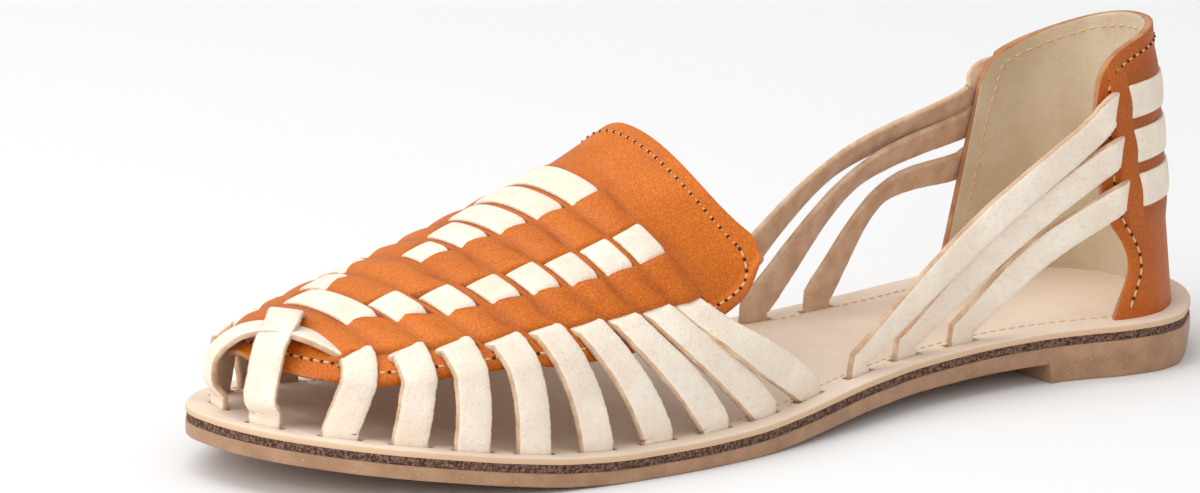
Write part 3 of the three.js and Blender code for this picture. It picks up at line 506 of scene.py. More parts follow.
def felt_lining(name, light, dark):
    f = Finish(name, Specular_IOR_Level=0.12, Sheen_Weight=0.5, Sheen_Roughness=0.5)
    nap, cloud = f.noise(2200, 4, 0.75), f.noise(70, 4, 0.6)
    color = f.mix(cloud.step(0.3, 0.7), dark, light)
    color = f.mix(nap.step(0.35, 0.8) * 0.35, color, tuple(c * 0.78 for c in dark))
    return f.paint(color, 0.9 + nap * 0.08, nap + cloud * 0.6, 0.0004, 0.7)


def waxed_thread():
    f = Finish("waxed_thread", Specular_IOR_Level=0.3)
    twist = f.noise(2600, 2, 0.6)
    color = f.mix(twist, srgb(206, 160, 108), srgb(232, 202, 158))
    return f.paint(color, 0.6 + twist * 0.2, twist, 0.0002, 0.7)


# Needle holes drawn as dark beads: painted shade, standing in for the shade inside each hole.
def needle_hole():
    f = Finish("needle_hole", Specular_IOR_Level=0.1)
    shade_mottle = f.noise(1800, 2)
    return f.paint(f.mix(shade_mottle, srgb(70, 34, 16), srgb(104, 54, 26)), 0.85 + shade_mottle * 0.1)


def studio_floor():
    f = Finish("studio_floor", Specular_IOR_Level=0.2)
    cloud = f.noise(3, 2)
    return f.paint(f.mix(cloud, (0.83, 0.83, 0.83), (0.85, 0.85, 0.85)), 0.8 + cloud * 0.05)


# ---- meshes

def finish_mesh(name, points, faces, slots, materials, attributes=None):
    """A closed mesh from millimetre points, its faces turned outwards."""
    mesh = bpy.data.meshes.new(name)
    mesh.from_pydata([tuple((p + SHIFT) * MM) for p in points], [], faces)
    for material in materials:
        mesh.materials.append(material)
    mesh.polygons.foreach_set("material_index", slots)
    for key, values in (attributes or {}).items():
        mesh.attributes.new(key, "FLOAT", "POINT").data.foreach_set("value", values)
    if volume_sign(points, faces) < 0:
        mesh.flip_normals()
    mesh.validate()
    mesh.shade_smooth()
    return place(name, mesh)


def volume_sign(points, faces):
    total = 0.0
    for face in faces:
        a = points[face[0]]
        for i in range(1, len(face) - 1):
            total += a.dot(points[face[i]].cross(points[face[i + 1]]))
    return total


def shell(outer, inner, slots=(0, 1, 2)):
    """Closed wall between two grids; slots name its outside, inside and edge."""
    rows, columns = len(outer), len(outer[0])
    points = [p for row in outer for p in row] + [p for row in inner for p in row]
    faces, used, rim = [], [], []

    def o(i, j):
        return i * columns + j

    def k(i, j):
        return (rows + i) * columns + j

    for i in range(rows - 1):
        for j in range(columns - 1):
            faces.append((o(i, j), o(i + 1, j), o(i + 1, j + 1), o(i, j + 1)))
            faces.append((k(i, j), k(i, j + 1), k(i + 1, j + 1), k(i + 1, j)))
            used += slots[:2]
    end, side = rows - 1, columns - 1
    for i in range(end):
        rim.append((o(i, 0), k(i, 0), k(i + 1, 0), o(i + 1, 0)))
        rim.append((o(i, side), o(i + 1, side), k(i + 1, side), k(i, side)))
    for j in range(side):
        rim.append((o(0, j), o(0, j + 1), k(0, j + 1), k(0, j)))
        rim.append((o(end, j), k(end, j), k(end, j + 1), o(end, j + 1)))
    return points, faces + rim, used + [slots[2]] * len(rim)


def grid_normals(grid, like):
    """Unit normals of a grid, turned so that its middle one looks the way that like gives."""
    rows, columns = len(grid), len(grid[0])

    def at(i, j):
        return grid[int(clamp(i, 0, rows - 1))][int(clamp(j, 0, columns - 1))]

    normals = [[(at(i + 1, j) - at(i - 1, j)).cross(at(i, j + 1) - at(i, j - 1)).normalized()
                for j in range(columns)] for i in range(rows)]
    i, j = rows // 2, columns // 2
    if normals[i][j].dot(like(grid[i][j])) < 0:
        normals = [[-n for n in row] for row in normals]
    return normals


def raised(grid, normals, height):
    """The grid moved along its normals by height(i, j)."""
    return [[p + normals[i][j] * height(i, j) for j, p in enumerate(row)]
            for i, row in enumerate(grid)]


def upward(_):
    return Vector((0, 0, 1))


def leather_wall(name, cells, like, inside, materials):
    """Wall from rows of (point, lift, painted crease shade); inside gives its inner face's height
    from a lift.
    """
    base, lift, crease = ([[cell[n] for cell in row] for row in cells] for n in range(3))
    normals = grid_normals(base, like)
    outer = raised(base, normals, lambda i, j: lift[i][j])
    inner = raised(base, normals, lambda i, j: inside(lift[i][j]))
    shade = [c for row in crease for c in row]
    shades = {"crease": shade + [0.0] * len(shade)}
    return finish_mesh(name, *shell(outer, inner), materials, shades)


# Places across a strap that lies on the leather, and how far its face falls there.
ACROSS = (-1.0, -0.96, -0.8, -0.45, 0.0, 0.45, 0.8, 0.96, 1.0)
ROUNDING = (0.595, 0.28, 0.14, 0.042, 0.0, 0.042, 0.14, 0.28, 0.595)


def window(grid, down, like, leather):
    """Strap lying on a grid, its sides rounded and its ends drawn down."""
    rise, thick = WINDOW_RISE[leather], WINDOW_THICK[leather]
    normals = grid_normals(grid, like)
    top = raised(grid, normals, lambda i, j: rise - ROUNDING[i] - down[j])
    flesh = raised(grid, normals, lambda i, j: rise - thick - down[j])
    return (*shell(top, flesh), [abs(s) for s in ACROSS for _ in down] * 2)


def gather(parts):
    """One list of points, faces, slots and edge values from several."""
    points, faces, slots, edges = [], [], [], []
    for p, f, s, e in parts:
        base = len(points)
        points += p
        faces += [tuple(i + base for i in face) for face in f]
        slots += s
        edges += e
    return points, faces, slots, edges


# A strap's section: across from -1 to 1, height from the underside 0 to the grain side 1,
# and which faces are grain (0), flesh (1) and cut edge (2).
SECTION = [(-0.88, 0.93), (-0.6, 1.0), (-0.2, 1.03), (0.2, 1.03), (0.6, 1.0), (0.88, 0.93),
           (0.985, 0.74), (1.0, 0.45), (0.97, 0.12), (0.85, 0.0), (0.0, 0.0), (-0.85, 0.0),
           (-0.97, 0.12), (-1.0, 0.45), (-0.985, 0.74)]
SECTION_SLOT = [0] * 6 + [2, 2, 2, 1, 1, 2, 2, 2, 2]


def tube_faces(rings, count):
    """Faces between closed rings of count points."""
    turns = [(i, (i + 1) % count) for i in range(count)]
    return [(n * count + i, n * count + k, (n + 1) * count + k, (n + 1) * count + i)
            for n in range(rings - 1) for i, k in turns]


def ribbon(stations, width=STRAP_WIDTH):
    """Strip of leather along stations of point and width direction, its grain side outwards."""
    points, edges = [], []
    ring = len(SECTION)
    last = len(stations) - 1
    for i, (p, w) in enumerate(stations):
        along = (stations[min(i + 1, last)][0] - stations[max(i - 1, 0)][0]).normalized()
        side = (w - along * w.dot(along)).normalized()
        up = along.cross(side).normalized()
        fray = 1 + FRAY[0] * math.sin(i * 2.1 + p.x) + FRAY[1] * math.sin(i * 0.83 + p.y)
        for s, h in SECTION:
            points.append(p + side * (s * width / 2 * fray) + up * ((h - 0.5) * STRAP_THICK))
            edges.append(abs(s))
    faces = tube_faces(last + 1, ring)
    faces += [tuple(range(ring))[::-1], tuple(range(last * ring, (last + 1) * ring))]
    return points, faces, SECTION_SLOT * last + [2, 2], edges


def smooth_line(folds, count):
    """Centripetal curve through folds of point and width direction."""
    last = len(folds) - 1
    places = [fold[0] for fold in folds]
    places = [places[0] * 2 - places[1]] + places + [places[last] * 2 - places[last - 1]]
    out = []
    for n in range(count + 1):
        t = n / count * last
        i = min(int(t), last - 1)
        u = t - i
        p0, p1, p2, p3 = places[i:i + 4]
        d0, d1, d2 = (max((b - a).length ** 0.5, 1e-4) for a, b in ((p0, p1), (p1, p2), (p2, p3)))
        t1 = ((p1 - p0) / d0 - (p2 - p0) / (d0 + d1) + (p2 - p1) / d1) * d1
        t2 = ((p2 - p1) / d1 - (p3 - p1) / (d1 + d2) + (p3 - p2) / d2) * d1
        p = p1 * (2 * u ** 3 - 3 * u ** 2 + 1) + t1 * (u ** 3 - 2 * u ** 2 + u)
        p += p2 * (3 * u ** 2 - 2 * u ** 3) + t2 * (u ** 3 - u ** 2)
        out.append((p, folds[i][1].lerp(folds[i + 1][1], u).normalized()))
    return out


# ---- sole layers

def sole_stations():
    """Places along the sole, closer together at its rounded ends."""
    return eased(0, LENGTH, 150)


def outline_loop(xs, inset):
    """Outer side to the toe and back along the inner side, drawn in by inset."""
    line = [Vector((x, lateral_share(x / LENGTH) * BALL, 0)) for x in xs]
    line += [Vector((x, medial_share(x / LENGTH) * BALL, 0)) for x in reversed(xs)]
    count = len(line)
    loop = []
    for i, p in enumerate(line):
        along = (line[(i + 1) % count] - line[i - 1]).normalized()
        inward = Vector((along.y, -along.x, 0))
        loop.append((p, p + inward * inset))
    return loop


def stack_faces(levels, columns):
    """Faces of a closed stack of loops, each out along one side and back along the other."""
    count = 2 * columns
    faces = tube_faces(levels, count)
    base = (levels - 1) * count
    for i in range(columns - 1):
        j = count - 1 - i
        faces += [(i, j, j - 1, i + 1), (base + i, base + i + 1, base + j - 1, base + j)]
    return faces


def layer(name, top, bottom, levels, material, edge_from=None):
    """A sole layer; levels are rows of (share of the way down, inset), the first on top."""
    xs = sole_stations()
    points = [Vector((q.x, q.y, top(p.x) * (1 - share) + bottom(p.x) * share))
              for share, inset in levels for p, q in outline_loop(xs, inset)]
    faces = stack_faces(len(levels), len(xs))
    shades = None
    if edge_from:
        shades = {"edge": [float(n >= edge_from) for n in range(len(levels)) for _ in xs * 2]}
    return finish_mesh(name, points, faces, [0] * len(faces), [material], shades)


def heel_block(material):
    xs = [x for x in sole_stations() if x < HEEL_FRONT - 1.5] + [HEEL_FRONT]
    top = sole_bottom(HEEL_FRONT) + 1.0
    levels = [(top, 0.05), (0.5, HEEL_TAPER * 0.85), (0.12, HEEL_TAPER), (0.0, HEEL_TAPER + 0.3)]
    points = [Vector((q.x, q.y, z)) for z, inset in levels for _, q in outline_loop(xs, inset)]
    faces = stack_faces(len(levels), len(xs))
    return finish_mesh("heel", points, faces, [0] * len(faces), [material])


def boolean(piece, tool, operation):
    """Joins a tool to a piece or cuts it away, and deletes the tool."""
    step = piece.modifiers.new("cut", "BOOLEAN")
    step.operation = operation
    step.solver = "EXACT"
    step.object = tool
    apply_steps(piece)
    bpy.data.objects.remove(tool)


def make_soles():
    rubber, leather = beige_rubber(), insole_leather()
    under = INSOLE + MIDSOLE + 2 * LAYER_GAP
    outsole = layer("outsole_rubber", lambda x: insole_top(x) - under + 0.25, sole_bottom,
                    [(0, 0.25), (0.06, 0.05), (0.5, 0), (0.9, 0.08), (1, 0.35)], rubber)
    boolean(outsole, heel_block(rubber), "UNION")
    midsole = layer("midsole_board", lambda x: insole_top(x) - INSOLE,
                    lambda x: insole_top(x) - under + 0.27,
                    [(0, 0.3), (0.12, 0.22), (0.88, 0.22), (1, 0.3)], speckled_board())
    insole = layer("insole_leather", insole_top, lambda x: insole_top(x) - INSOLE + 0.03,
                   [(0, 0.55), (0.1, 0.18), (0.3, 0.0), (0.85, 0.0), (1, 0.1)], leather, 2)
    slots = gather([slot_box(*foot) for foot in all_feet()] + [cup_groove()])
    boolean(insole, finish_mesh("slots", *slots[:3], [leather]), "DIFFERENCE")
    soles = [(outsole, "outsole"), (midsole, "midsole"), (insole, "insole")]
    for piece, _ in soles:
        piece.data.shade_smooth()
        piece.data.set_sharp_from_angle(angle=math.radians(35))
    return soles


def edge_direction(x, side):
    """Direction of the sole's edge."""
    share = lateral_share if side > 0 else medial_share
    rise = (share((x + 2) / LENGTH) - share((x - 2) / LENGTH)) * BALL
    return Vector((4, rise, 0)).normalized()


def toe_width(x, y):
    """Direction across a toe strap at its foot, square to the way out from the toes."""
    out = (Vector((x, y, 0)) - Vector((*TOE_MIDDLE, 0))).normalized()
    return Vector((-out.y, out.x, 0))


def row_foot(row, side):
    """Place and width direction of a strap's foot, from a row that ends in its feet."""
    x = row[-4 if side > 0 else -2] * LENGTH
    y = row[-3 if side > 0 else -1] * BALL
    return x, y, edge_direction(x, side)


def all_feet():
    rows = [row[:-1] for row in CROSS.rows] + list(QUARTER.rows)
    feet = [row_foot(row, side) for row in rows for side in (1, -1)]
    for table in (TOE_UNDER, TOE_OVER):
        x, y = table.rows[-1][0] * LENGTH, table.rows[-1][1] * BALL
        feet.append((x, y, toe_width(x, y)))
    return feet


def slot_box(x, y, w):
    """Cutter for the slot round a strap's foot."""
    long_way = w * (STRAP_WIDTH / 2 + SLOT_ROOM[0])
    short_way = Vector((-w.y, w.x, 0)) * (STRAP_THICK / 2 + SLOT_ROOM[1])
    points = [Vector((x, y, z)) + long_way * s + short_way * t
              for z in (insole_top(x) + 2, insole_top(x) - INSOLE - 1)
              for s, t in ((-1, -1), (-1, 1), (1, 1), (1, -1))]
    faces = [(0, 1, 2, 3), (7, 6, 5, 4)]
    faces += [(i, 4 + i, 4 + (i + 1) % 4, (i + 1) % 4) for i in range(4)]
    return points, faces, [0] * len(faces), [0.0] * len(points)


def cup_groove():
    """Cutter for the groove that takes the counter's lower edge."""
    line = [cup_point(r, cup_foot(r)) for r in spaced(0, CUP_END, 60)]
    line = [line[0] * 2 - line[1]] + line + [line[-1] * 2 - line[-2]]
    levels = []
    for z in (insole_top(0) + 3, insole_top(0) - INSOLE - 3):
        level = []
        for i, p in enumerate(line):
            along = line[min(i + 1, len(line) - 1)] - line[max(i - 1, 0)]
            out = Vector((along.y, -along.x, 0)).normalized()
            if out.dot(cup_away(p)) < 0:
                out.negate()
            sides = (p + out * GROOVE[0], p - out * GROOVE[1])
            level.append([Vector((q.x, q.y, z)) for q in sides])
        levels.append(level)
    points, faces, slots = shell(*levels, (0, 0, 0))
    return points, faces, slots, [0.0] * len(points)


# ---- vamp

def vamp_edge(x, side):
    """Place and height of the vamp's edge on one side."""
    name = "lat" if side > 0 else "med"
    return crown[name + "_y"](x / LENGTH) * BALL, crown[name + "_z"](x / LENGTH) * INSTEP


def crown_height(x, y):
    """Height of the vamp's base surface: its fall is half a parabola's and half a circle's."""
    ridge_y = crown["ridge_y"](x / LENGTH) * BALL
    ridge_z = crown["ridge_z"](x / LENGTH) * INSTEP
    edge_y, edge_z = vamp_edge(x, 1 if y >= ridge_y else -1)
    u = min((y - ridge_y) / (edge_y - ridge_y), 1.0)
    fall = 0.5 * u * u + 0.5 * (1 - math.sqrt(1 - (0.985 * u) ** 2))
    return ridge_z - (ridge_z - edge_z) * fall


SECTIONS = {}


def section(x, side):
    """Reach of the vamp's cross-section and its y against the distance along the leather."""
    key = (round(x, 3), side)
    if key not in SECTIONS:
        ys = spaced(crown["ridge_y"](x / LENGTH) * BALL, vamp_edge(x, side)[0], 30)
        run = [0.0]
        for a, b in zip(ys, ys[1:]):
            run.append(run[-1] + math.hypot(b - a, crown_height(x, b) - crown_height(x, a)))
        SECTIONS[key] = (run[-1], cubic(run, ys))
    return SECTIONS[key]


def vamp_point(x, distance):
    """Point of the vamp at a place on the ridge and a distance along the leather from it."""
    away = abs(distance)
    reach, across = section(x, sign(distance))
    y = across(min(away, reach))
    back = x - FAN * (away / FAN_REACH) ** 3
    return Vector((back, y, crown_height(back, y) - max(away - reach, 0)))


def vamp_reach(x, side):
    def rounded(share):
        return math.sqrt(1 - (1 - clamp(share)) ** 2)

    tab = 0.8 + 0.2 * rounded((x - TAB_END) / TAB_ROUND)
    tip = 0.3 + 0.7 * rounded((TIP_END - x) / TIP_ROUND)
    return (section(x, side)[0] + EDGE_DROP) * tab * tip


def knots(x, side):
    """Distances from the ridge where a strap passes through the leather, and the edge's."""
    scale = 1.0 if side > 0 else section(x, -1)[0] / section(x, 1)[0]
    found = [0.0] + [curve(x / LENGTH) * BALL * (1.0 if name == "half" else scale)
                     for name, curve in knot_curves.items()]
    reach = vamp_reach(x, side)
    squeeze = min(1.0, SLOT_LIMIT * reach / found[-1])
    return [k * squeeze for k in found] + [reach]


def strap_state(row, interval):
    """Whether a strap lies over or under the leather between two knots."""
    if interval == EDGE:
        return "edge"
    shown = {"bar": (0, 1, 2), "middle": (0,), "side": (2,)}
    return "over" if any(interval in shown[word] for word in row[-1].split()) else "under"


def half_pitch(i, j):
    """Half the way between two neighbouring straps."""
    return abs(CENTRES[j] - CENTRES[i]) / 2 if 0 <= j < len(CENTRES) else END_PITCH


def nearest_strap(x):
    """The strap nearest to a place on the ridge, how far it is, and half the pitch there."""
    i = min(range(len(CENTRES)), key=lambda n: abs(CENTRES[n] - x))
    away = x - CENTRES[i]
    return CROSS.rows[i], abs(away), half_pitch(i, i - 1 if away > 0 else i + 1)


def leather_height(x, interval, share):
    """Leather lifted over a strap or pressed down beneath one, and the shade painted into its
    crease.
    """
    row, away, half = nearest_strap(x)
    level = LEVEL * clamp((half + LEVEL_FADE - away) / LEVEL_FADE)
    inside = clamp(half + 1 - away)
    state = strap_state(row, interval)
    if state == "under":
        wave = math.cos(math.pi / 2 * min(away / half, 1.0)) ** 2
        return level + HUMP * wave ** 0.8, SHADE["valley"] * (1 - wave) ** 5 * inside
    if state == "over":
        if away < SLOT_HALF + 0.02:
            return PRESSED, SHADE["beneath"]
        return level, SHADE["slot"] if away < SLOT_HALF + 0.15 else SHADE["beside"] * inside
    if away < STRAP_WIDTH / 2 + 0.05:
        return 0.0, SHADE["edge_slot"] * (1 - clamp(share * 6))
    return level * (1 - share), SHADE["edge"] * inside


def vamp_columns():
    """Grid columns as (interval, share of the way through it), doubled at each passage."""
    return [(n, share) for n, count in enumerate(VAMP_STEPS) for share in spaced(0, 1, count)]


def vamp_rows():
    """Places on the ridge, closer together where a slot's side runs."""
    marks = [0.9, 1.8, 2.6, 3.1, SLOT_HALF, SLOT_HALF + 0.09, STRAP_WIDTH / 2,
             STRAP_WIDTH / 2 + 0.1]
    xs = [TAB_END + 0.7, TAB_END + 0.3, TAB_END + 0.05]
    for i, centre in enumerate(CENTRES):
        xs.append(centre)
        for direction, j in ((1, i - 1), (-1, i + 1)):
            half = half_pitch(i, j)
            xs += [centre + direction * m for m in marks if m < half - 0.1]
            xs.append(centre + direction * (half - 0.06))
    xs += spaced(CENTRES[0] + END_PITCH, TIP_END - 0.15, 22)[1:]
    return xs + spaced(CENTRES[-1] - END_PITCH, TAB_END + 1.2, 20)[1:]


def pucker(x, distance):
    """Depth of the listed creases at a place on the vamp."""
    depth = 0.0
    for at, away, length, width, deep, turn in PUCKERS.rows:
        dx, dy = x - at, distance - away
        if abs(dx) + abs(dy) < 3 * length:
            c, s = math.cos(math.radians(turn)), math.sin(math.radians(turn))
            across, along = (dx * c - dy * s) / width, (dx * s + dy * c) / length
            depth += deep * math.exp(-across ** 2 - along ** 2)
    return depth


def make_vamp_leather(materials):
    columns = vamp_columns()
    places = [(-1, c) for c in reversed(columns)] + [(1, c) for c in columns[1:]]
    cells = []
    for x in sorted(set(vamp_rows()), reverse=True):
        spans = {side: knots(x, side) for side in (1, -1)}
        row = []
        for side, (interval, share) in places:
            a, b = spans[side][interval:interval + 2]
            gap = min(PASSAGE_GAP, (b - a) * 0.2)
            first, last = gap * (interval > 0), gap * (interval < EDGE)
            distance = side * (a + first + (b - a - first - last) * share)
            height, shade = leather_height(x, interval, share)
            hollow = pucker(x, distance)
            # Painted shade deepens in each pucker's hollow.
            shade = min(1.0, shade + SHADE["pucker"] * max(hollow, 0.0))
            row.append((vamp_point(x, distance), height - hollow, shade))
        cells.append(row)
    return leather_wall("vamp_leather", cells, upward, lambda lift: 0.4 * lift - VAMP_WALL,
                        materials)


def vamp_patch(x, start, end):
    """Strap on the leather between two distances, its ends tucked under."""
    tucked = [(-1.3, 1.7), (-0.2, 0.765), (0.5, 0.272), (1.2, 0.085)]
    span = [start + step for step, _ in tucked] + spaced(start + 1.2, end - 1.2, 8)[1:-1]
    span += [end - step for step, _ in reversed(tucked)]
    ends = [fall for _, fall in tucked]
    grid = [[vamp_point(x + s * SLOT_HALF, d) for d in span] for s in ACROSS]
    return window(grid, ends + [0.0] * 7 + ends[::-1], upward, "vamp")


def make_vamp_windows():
    parts = []
    for row in CROSS.rows:
        x, over = row[0] * LENGTH, row[-1]
        lat, med = knots(x, 1), knots(x, -1)
        spans = {"bar": [(-med[3], lat[3])], "middle": [(-med[1], lat[1])],
                 "side": [(lat[2], lat[3]), (-med[3], -med[2])]}
        for word in sorted(over.split()):
            parts += [vamp_patch(x, *span) for span in spans[word]]
    return parts


def foot_stations(x, y, w):
    """The last stations of a strap, down into its slot in the insole."""
    return [(Vector((x, y, insole_top(x) + z)), w) for z in FOOT_STEPS]


def fold_over(x, distance, height):
    """Point and width direction of a strap at a height over the vamp."""
    p = vamp_point(x, distance)
    w = (vamp_point(x + 1, distance) - vamp_point(x - 1, distance)).normalized()
    normal = w.cross(vamp_point(x, distance - sign(distance)) - p).normalized()
    if normal.dot(Vector((0, sign(distance), 0.6))) < 0:
        normal.negate()
    return p + normal * height, w


def clear_of_vamp(p, side):
    """A cross strap's point moved out sideways where it would run inside the vamp."""
    edge_y, edge_z = vamp_edge(p.x, side)
    near = clamp((p.z - edge_z + EDGE_DROP + 7) / 7) * clamp((p.x - TAB_END + FAN) / 4)
    y = p.y
    while side * (edge_y + side * STRAP_LIFT - y) > 0 and p.z < crown_height(p.x, y) + STRAP_LIFT:
        y += side * 0.1
    return Vector((p.x, p.y + (y - p.y) * near, p.z))


def cross_strap(row, side):
    """Out of the edge slot and in one bow over the vamp's edge down to its foot."""
    x = row[0] * LENGTH
    slot = knots(x, side)[EDGE]
    fx, fy, fw = row_foot(row[:-1], side)
    foot = Vector((fx, fy, insole_top(fx) + 1.4))
    line = [fold_over(x, side * (slot + past), height) for past, height in BOW_START]
    leave, w = line.pop()
    slope = vamp_point(x, side * section(x, side)[0]) - vamp_point(x, side * slot)
    way, drop = fx - leave.x, leave.z - foot.z
    out = Vector((0, slope.y, slope.z)).normalized() * (BOW_TOP * (leave - foot).length)
    handle = leave + Vector((way / 3, out.y, out.z))
    handle_low = foot + Vector((-way / 3, side * 0.6, BOW_FOOT * drop))
    bow = []
    for t in spaced(0, 1, BOW_STEPS):
        u = 1 - t
        p = leave * u ** 3 + handle * (3 * u * u * t) + handle_low * (3 * u * t * t) + foot * t ** 3
        bow.append(clear_of_vamp(p, side) if t < 1 else p)
    for _ in range(BOW_SMOOTHING):
        middle = [(a + b * 2 + c) / 4 for a, b, c in zip(bow, bow[1:], bow[2:])]
        bow = bow[:1] + middle + bow[-1:]
    line += [(p, w.lerp(fw, i / BOW_STEPS).normalized()) for i, p in enumerate(bow)]
    return ribbon(outward_line(line + foot_stations(fx, fy, fw)[1:], (0, side, 0.3)))


def outward_line(stations, outward, at=None):
    """Turns the width directions round where the grain side would face in."""
    i = at or len(stations) // 2
    p, w = stations[i]
    if (stations[i + 1][0] - p).cross(w).dot(Vector(outward)) < 0:
        return [(q, -v) for q, v in stations]
    return stations


def toe_strap(table, lean):
    """One of the two straps crossed at the toe; lean is its width direction at the vamp."""
    folds = [Vector((at * LENGTH, y * BALL, z * INSTEP)) for at, y, z in table.rows]
    x, y = folds[-1].x, folds[-1].y
    w = toe_width(x, y)
    last = len(folds) - 1
    line = [(p, lean.lerp(w, i / last).normalized()) for i, p in enumerate(folds[:-1])]
    line.append((Vector((x, y, insole_top(x) + 3)), w))
    stations = smooth_line(line, 46) + foot_stations(x, y, w)
    return ribbon(outward_line(stations, (1, 0, 0.2), at=30))


# ---- heel counter

def cup_foot(row):
    """Height of the counter's lower edge, in the insole's groove."""
    return insole_top(cup["foot_x"](row) * LENGTH) - INSOLE + 0.35


def cup_rim(row):
    """Height of the counter's rim."""
    return cup["rim_z"](row) * COLLAR


def cup_point(row, z):
    """Point of the counter; its back is drawn in at half height."""
    foot = cup_foot(row)
    h = (z - foot) / (cup_rim(row) - foot)
    x = (cup["foot_x"](row) * (1 - h) + cup["rim_x"](row) * h) * LENGTH
    y = (cup["foot_y"](row) * (1 - h) + cup["rim_y"](row) * h) * BALL
    near = max(0.0, 1 - row / CUP_HOLLOW["rows"])
    level = min(abs(z - CUP_HOLLOW["height"]) / CUP_HOLLOW["reach"], 1.0)
    return Vector((x - CUP_HOLLOW["depth"] * near * math.cos(math.pi * level / 2) ** 2, y, z))


def weave_height(row, strap):
    """Height of a quarter strap's middle, rising to the back of the heel."""
    reach = CUP_BACK if row < CUP_BACK else CUP_END - CUP_BACK
    return strap[0] * COLLAR + CUP_RISE * (1 - abs(row - CUP_BACK) / reach)


def cup_away(p):
    """Direction out from the middle of the heel."""
    return p - Vector((*CUP_MIDDLE, p.z))


def cup_state(row):
    """Whether the quarter straps lie over or under the counter at a row."""
    if any(start < row < end for start, end in CUP_WINDOW.values()):
        return "over"
    return "under" if CUP_SLOT[1] < row < CUP_SLOT[-1] else "edge"


def cup_rows():
    """Rows round the counter, from the outer front edge to the inner one."""
    marks = [0, CUP_SLOT[1], *CUP_WINDOW[1], *CUP_WINDOW[-1], CUP_SLOT[-1], CUP_END]
    rows = []
    for a, b in zip(marks, marks[1:]):
        count = max(6, round((b - a) * 7))
        rows += [a + ROW_GAP + (b - a - 2 * ROW_GAP) * i / count for i in range(count + 1)]
    return rows


def cup_heights(row):
    """Heights up the counter at a row, closer together along the sides of the slots."""
    foot, rim = cup_foot(row), cup_rim(row)
    middles = sorted(weave_height(row, strap) for strap in QUARTER.rows)
    side = CUP_SLOT_HALF
    heights = spaced(foot, middles[0] - WEAVE_MARGIN, 16)
    for middle in middles:
        heights += [middle + s for s in (-side - 0.1, -side, -2.4, -1.2, 0, 1.2, 2.4, side,
                                         side + 0.1)]
    top = middles[-1] + WEAVE_MARGIN
    squeeze = min(1.0, (rim - 1 - foot) / (top - foot))
    heights = [foot + (z - foot) * squeeze for z in heights]
    return heights + spaced(foot + (top - foot) * squeeze, rim, 10)


def zone(z):
    """1 over the height that the woven straps take, 0 above and below."""
    low_strap, high_strap = QUARTER.rows[-1][0] * COLLAR, QUARTER.rows[0][0] * COLLAR + CUP_RISE
    return clamp((z - low_strap + 8) / 4) * clamp((high_strap + 8 - z) / 4)


def make_counter_leather(materials):
    cells = []
    for row in cup_rows():
        state = cup_state(row)
        cells.append([])
        for z in cup_heights(row):
            off = min(abs(z - weave_height(row, strap)) for strap in QUARTER.rows)
            lift, shade = 0.0, 0.0
            if state == "under":
                wave = math.cos(math.pi / 2 * min(off / (STRAP_WIDTH * 0.62), 1.0)) ** 2
                lift = CUP_LIFT + CUP_LIFT * wave ** 0.8
            elif state == "over":
                lift = PRESSED if off < CUP_SLOT_HALF else CUP_LIFT
                # Painted shade on the counter's leather beside each window's slot.
                shade = SHADE["counter"] * (off > CUP_SLOT_HALF)
            cells[-1].append((cup_point(row, z), lift * zone(z), shade * zone(z)))
    return leather_wall("counter_leather", cells, cup_away, lambda lift: -CUP_WALL, materials)


def cup_patch(strap, side):
    """Quarter strap where it lies on the counter, its ends tucked under."""
    start, end = CUP_WINDOW[side]
    rows = [start - 0.25, start - 0.03, start + 0.1] + spaced(start, end, 14)[1:-1]
    rows += [end - 0.1, end + 0.03, end + 0.25]
    down = [1.0, 0.45, 0.12] + [0.0] * 13 + [0.12, 0.45, 1.0]
    grid = [[cup_point(r, weave_height(r, strap) + s * CUP_SLOT_HALF) for r in rows]
            for s in ACROSS]
    return window(grid, down, cup_away, "counter")


def quarter_strap(strap, side):
    """Out of the counter's slot, round its front edge and in a bow down to its foot."""
    start = CUP_SLOT[side]
    end = 0 if side > 0 else CUP_END
    height = weave_height(start, strap)
    up = Vector((0, 0, 1))
    fx, fy, fw = row_foot(strap, side)

    def out(row, z, distance):
        p = cup_point(row, z)
        normal = (cup_point(row + 0.2, z) - cup_point(row - 0.2, z)).cross(up).normalized()
        return p + normal * (distance if normal.y * side >= 0 else -distance)

    foot = Vector((fx, fy, insole_top(fx) + 3))
    front = out(end, min(height - 2, cup_rim(end) - RIM_MARGIN), 1.2)
    run = foot - front
    across = -Vector((run.z, 0, -run.x)).normalized()
    across = Vector((across.x, -side * QUARTER_TILT[side], across.z)).normalized()
    bow = front.lerp(foot, 0.5) + Vector((0, side * 1.5, QUARTER_BOW[side]))
    line = [(out(start + 0.5 * side, height, -0.5), up),
            (out(start - 0.3 * side, height - 0.5, 0.9), up),
            (front, across.lerp(up, 0.5).normalized()), (bow, across), (foot, fw)]
    stations = smooth_line(line, 56) + foot_stations(fx, fy, fw)
    return ribbon(outward_line(stations, (0, side, 0.3)), QUARTER_WIDTH)


# ---- stitches by geometry nodes

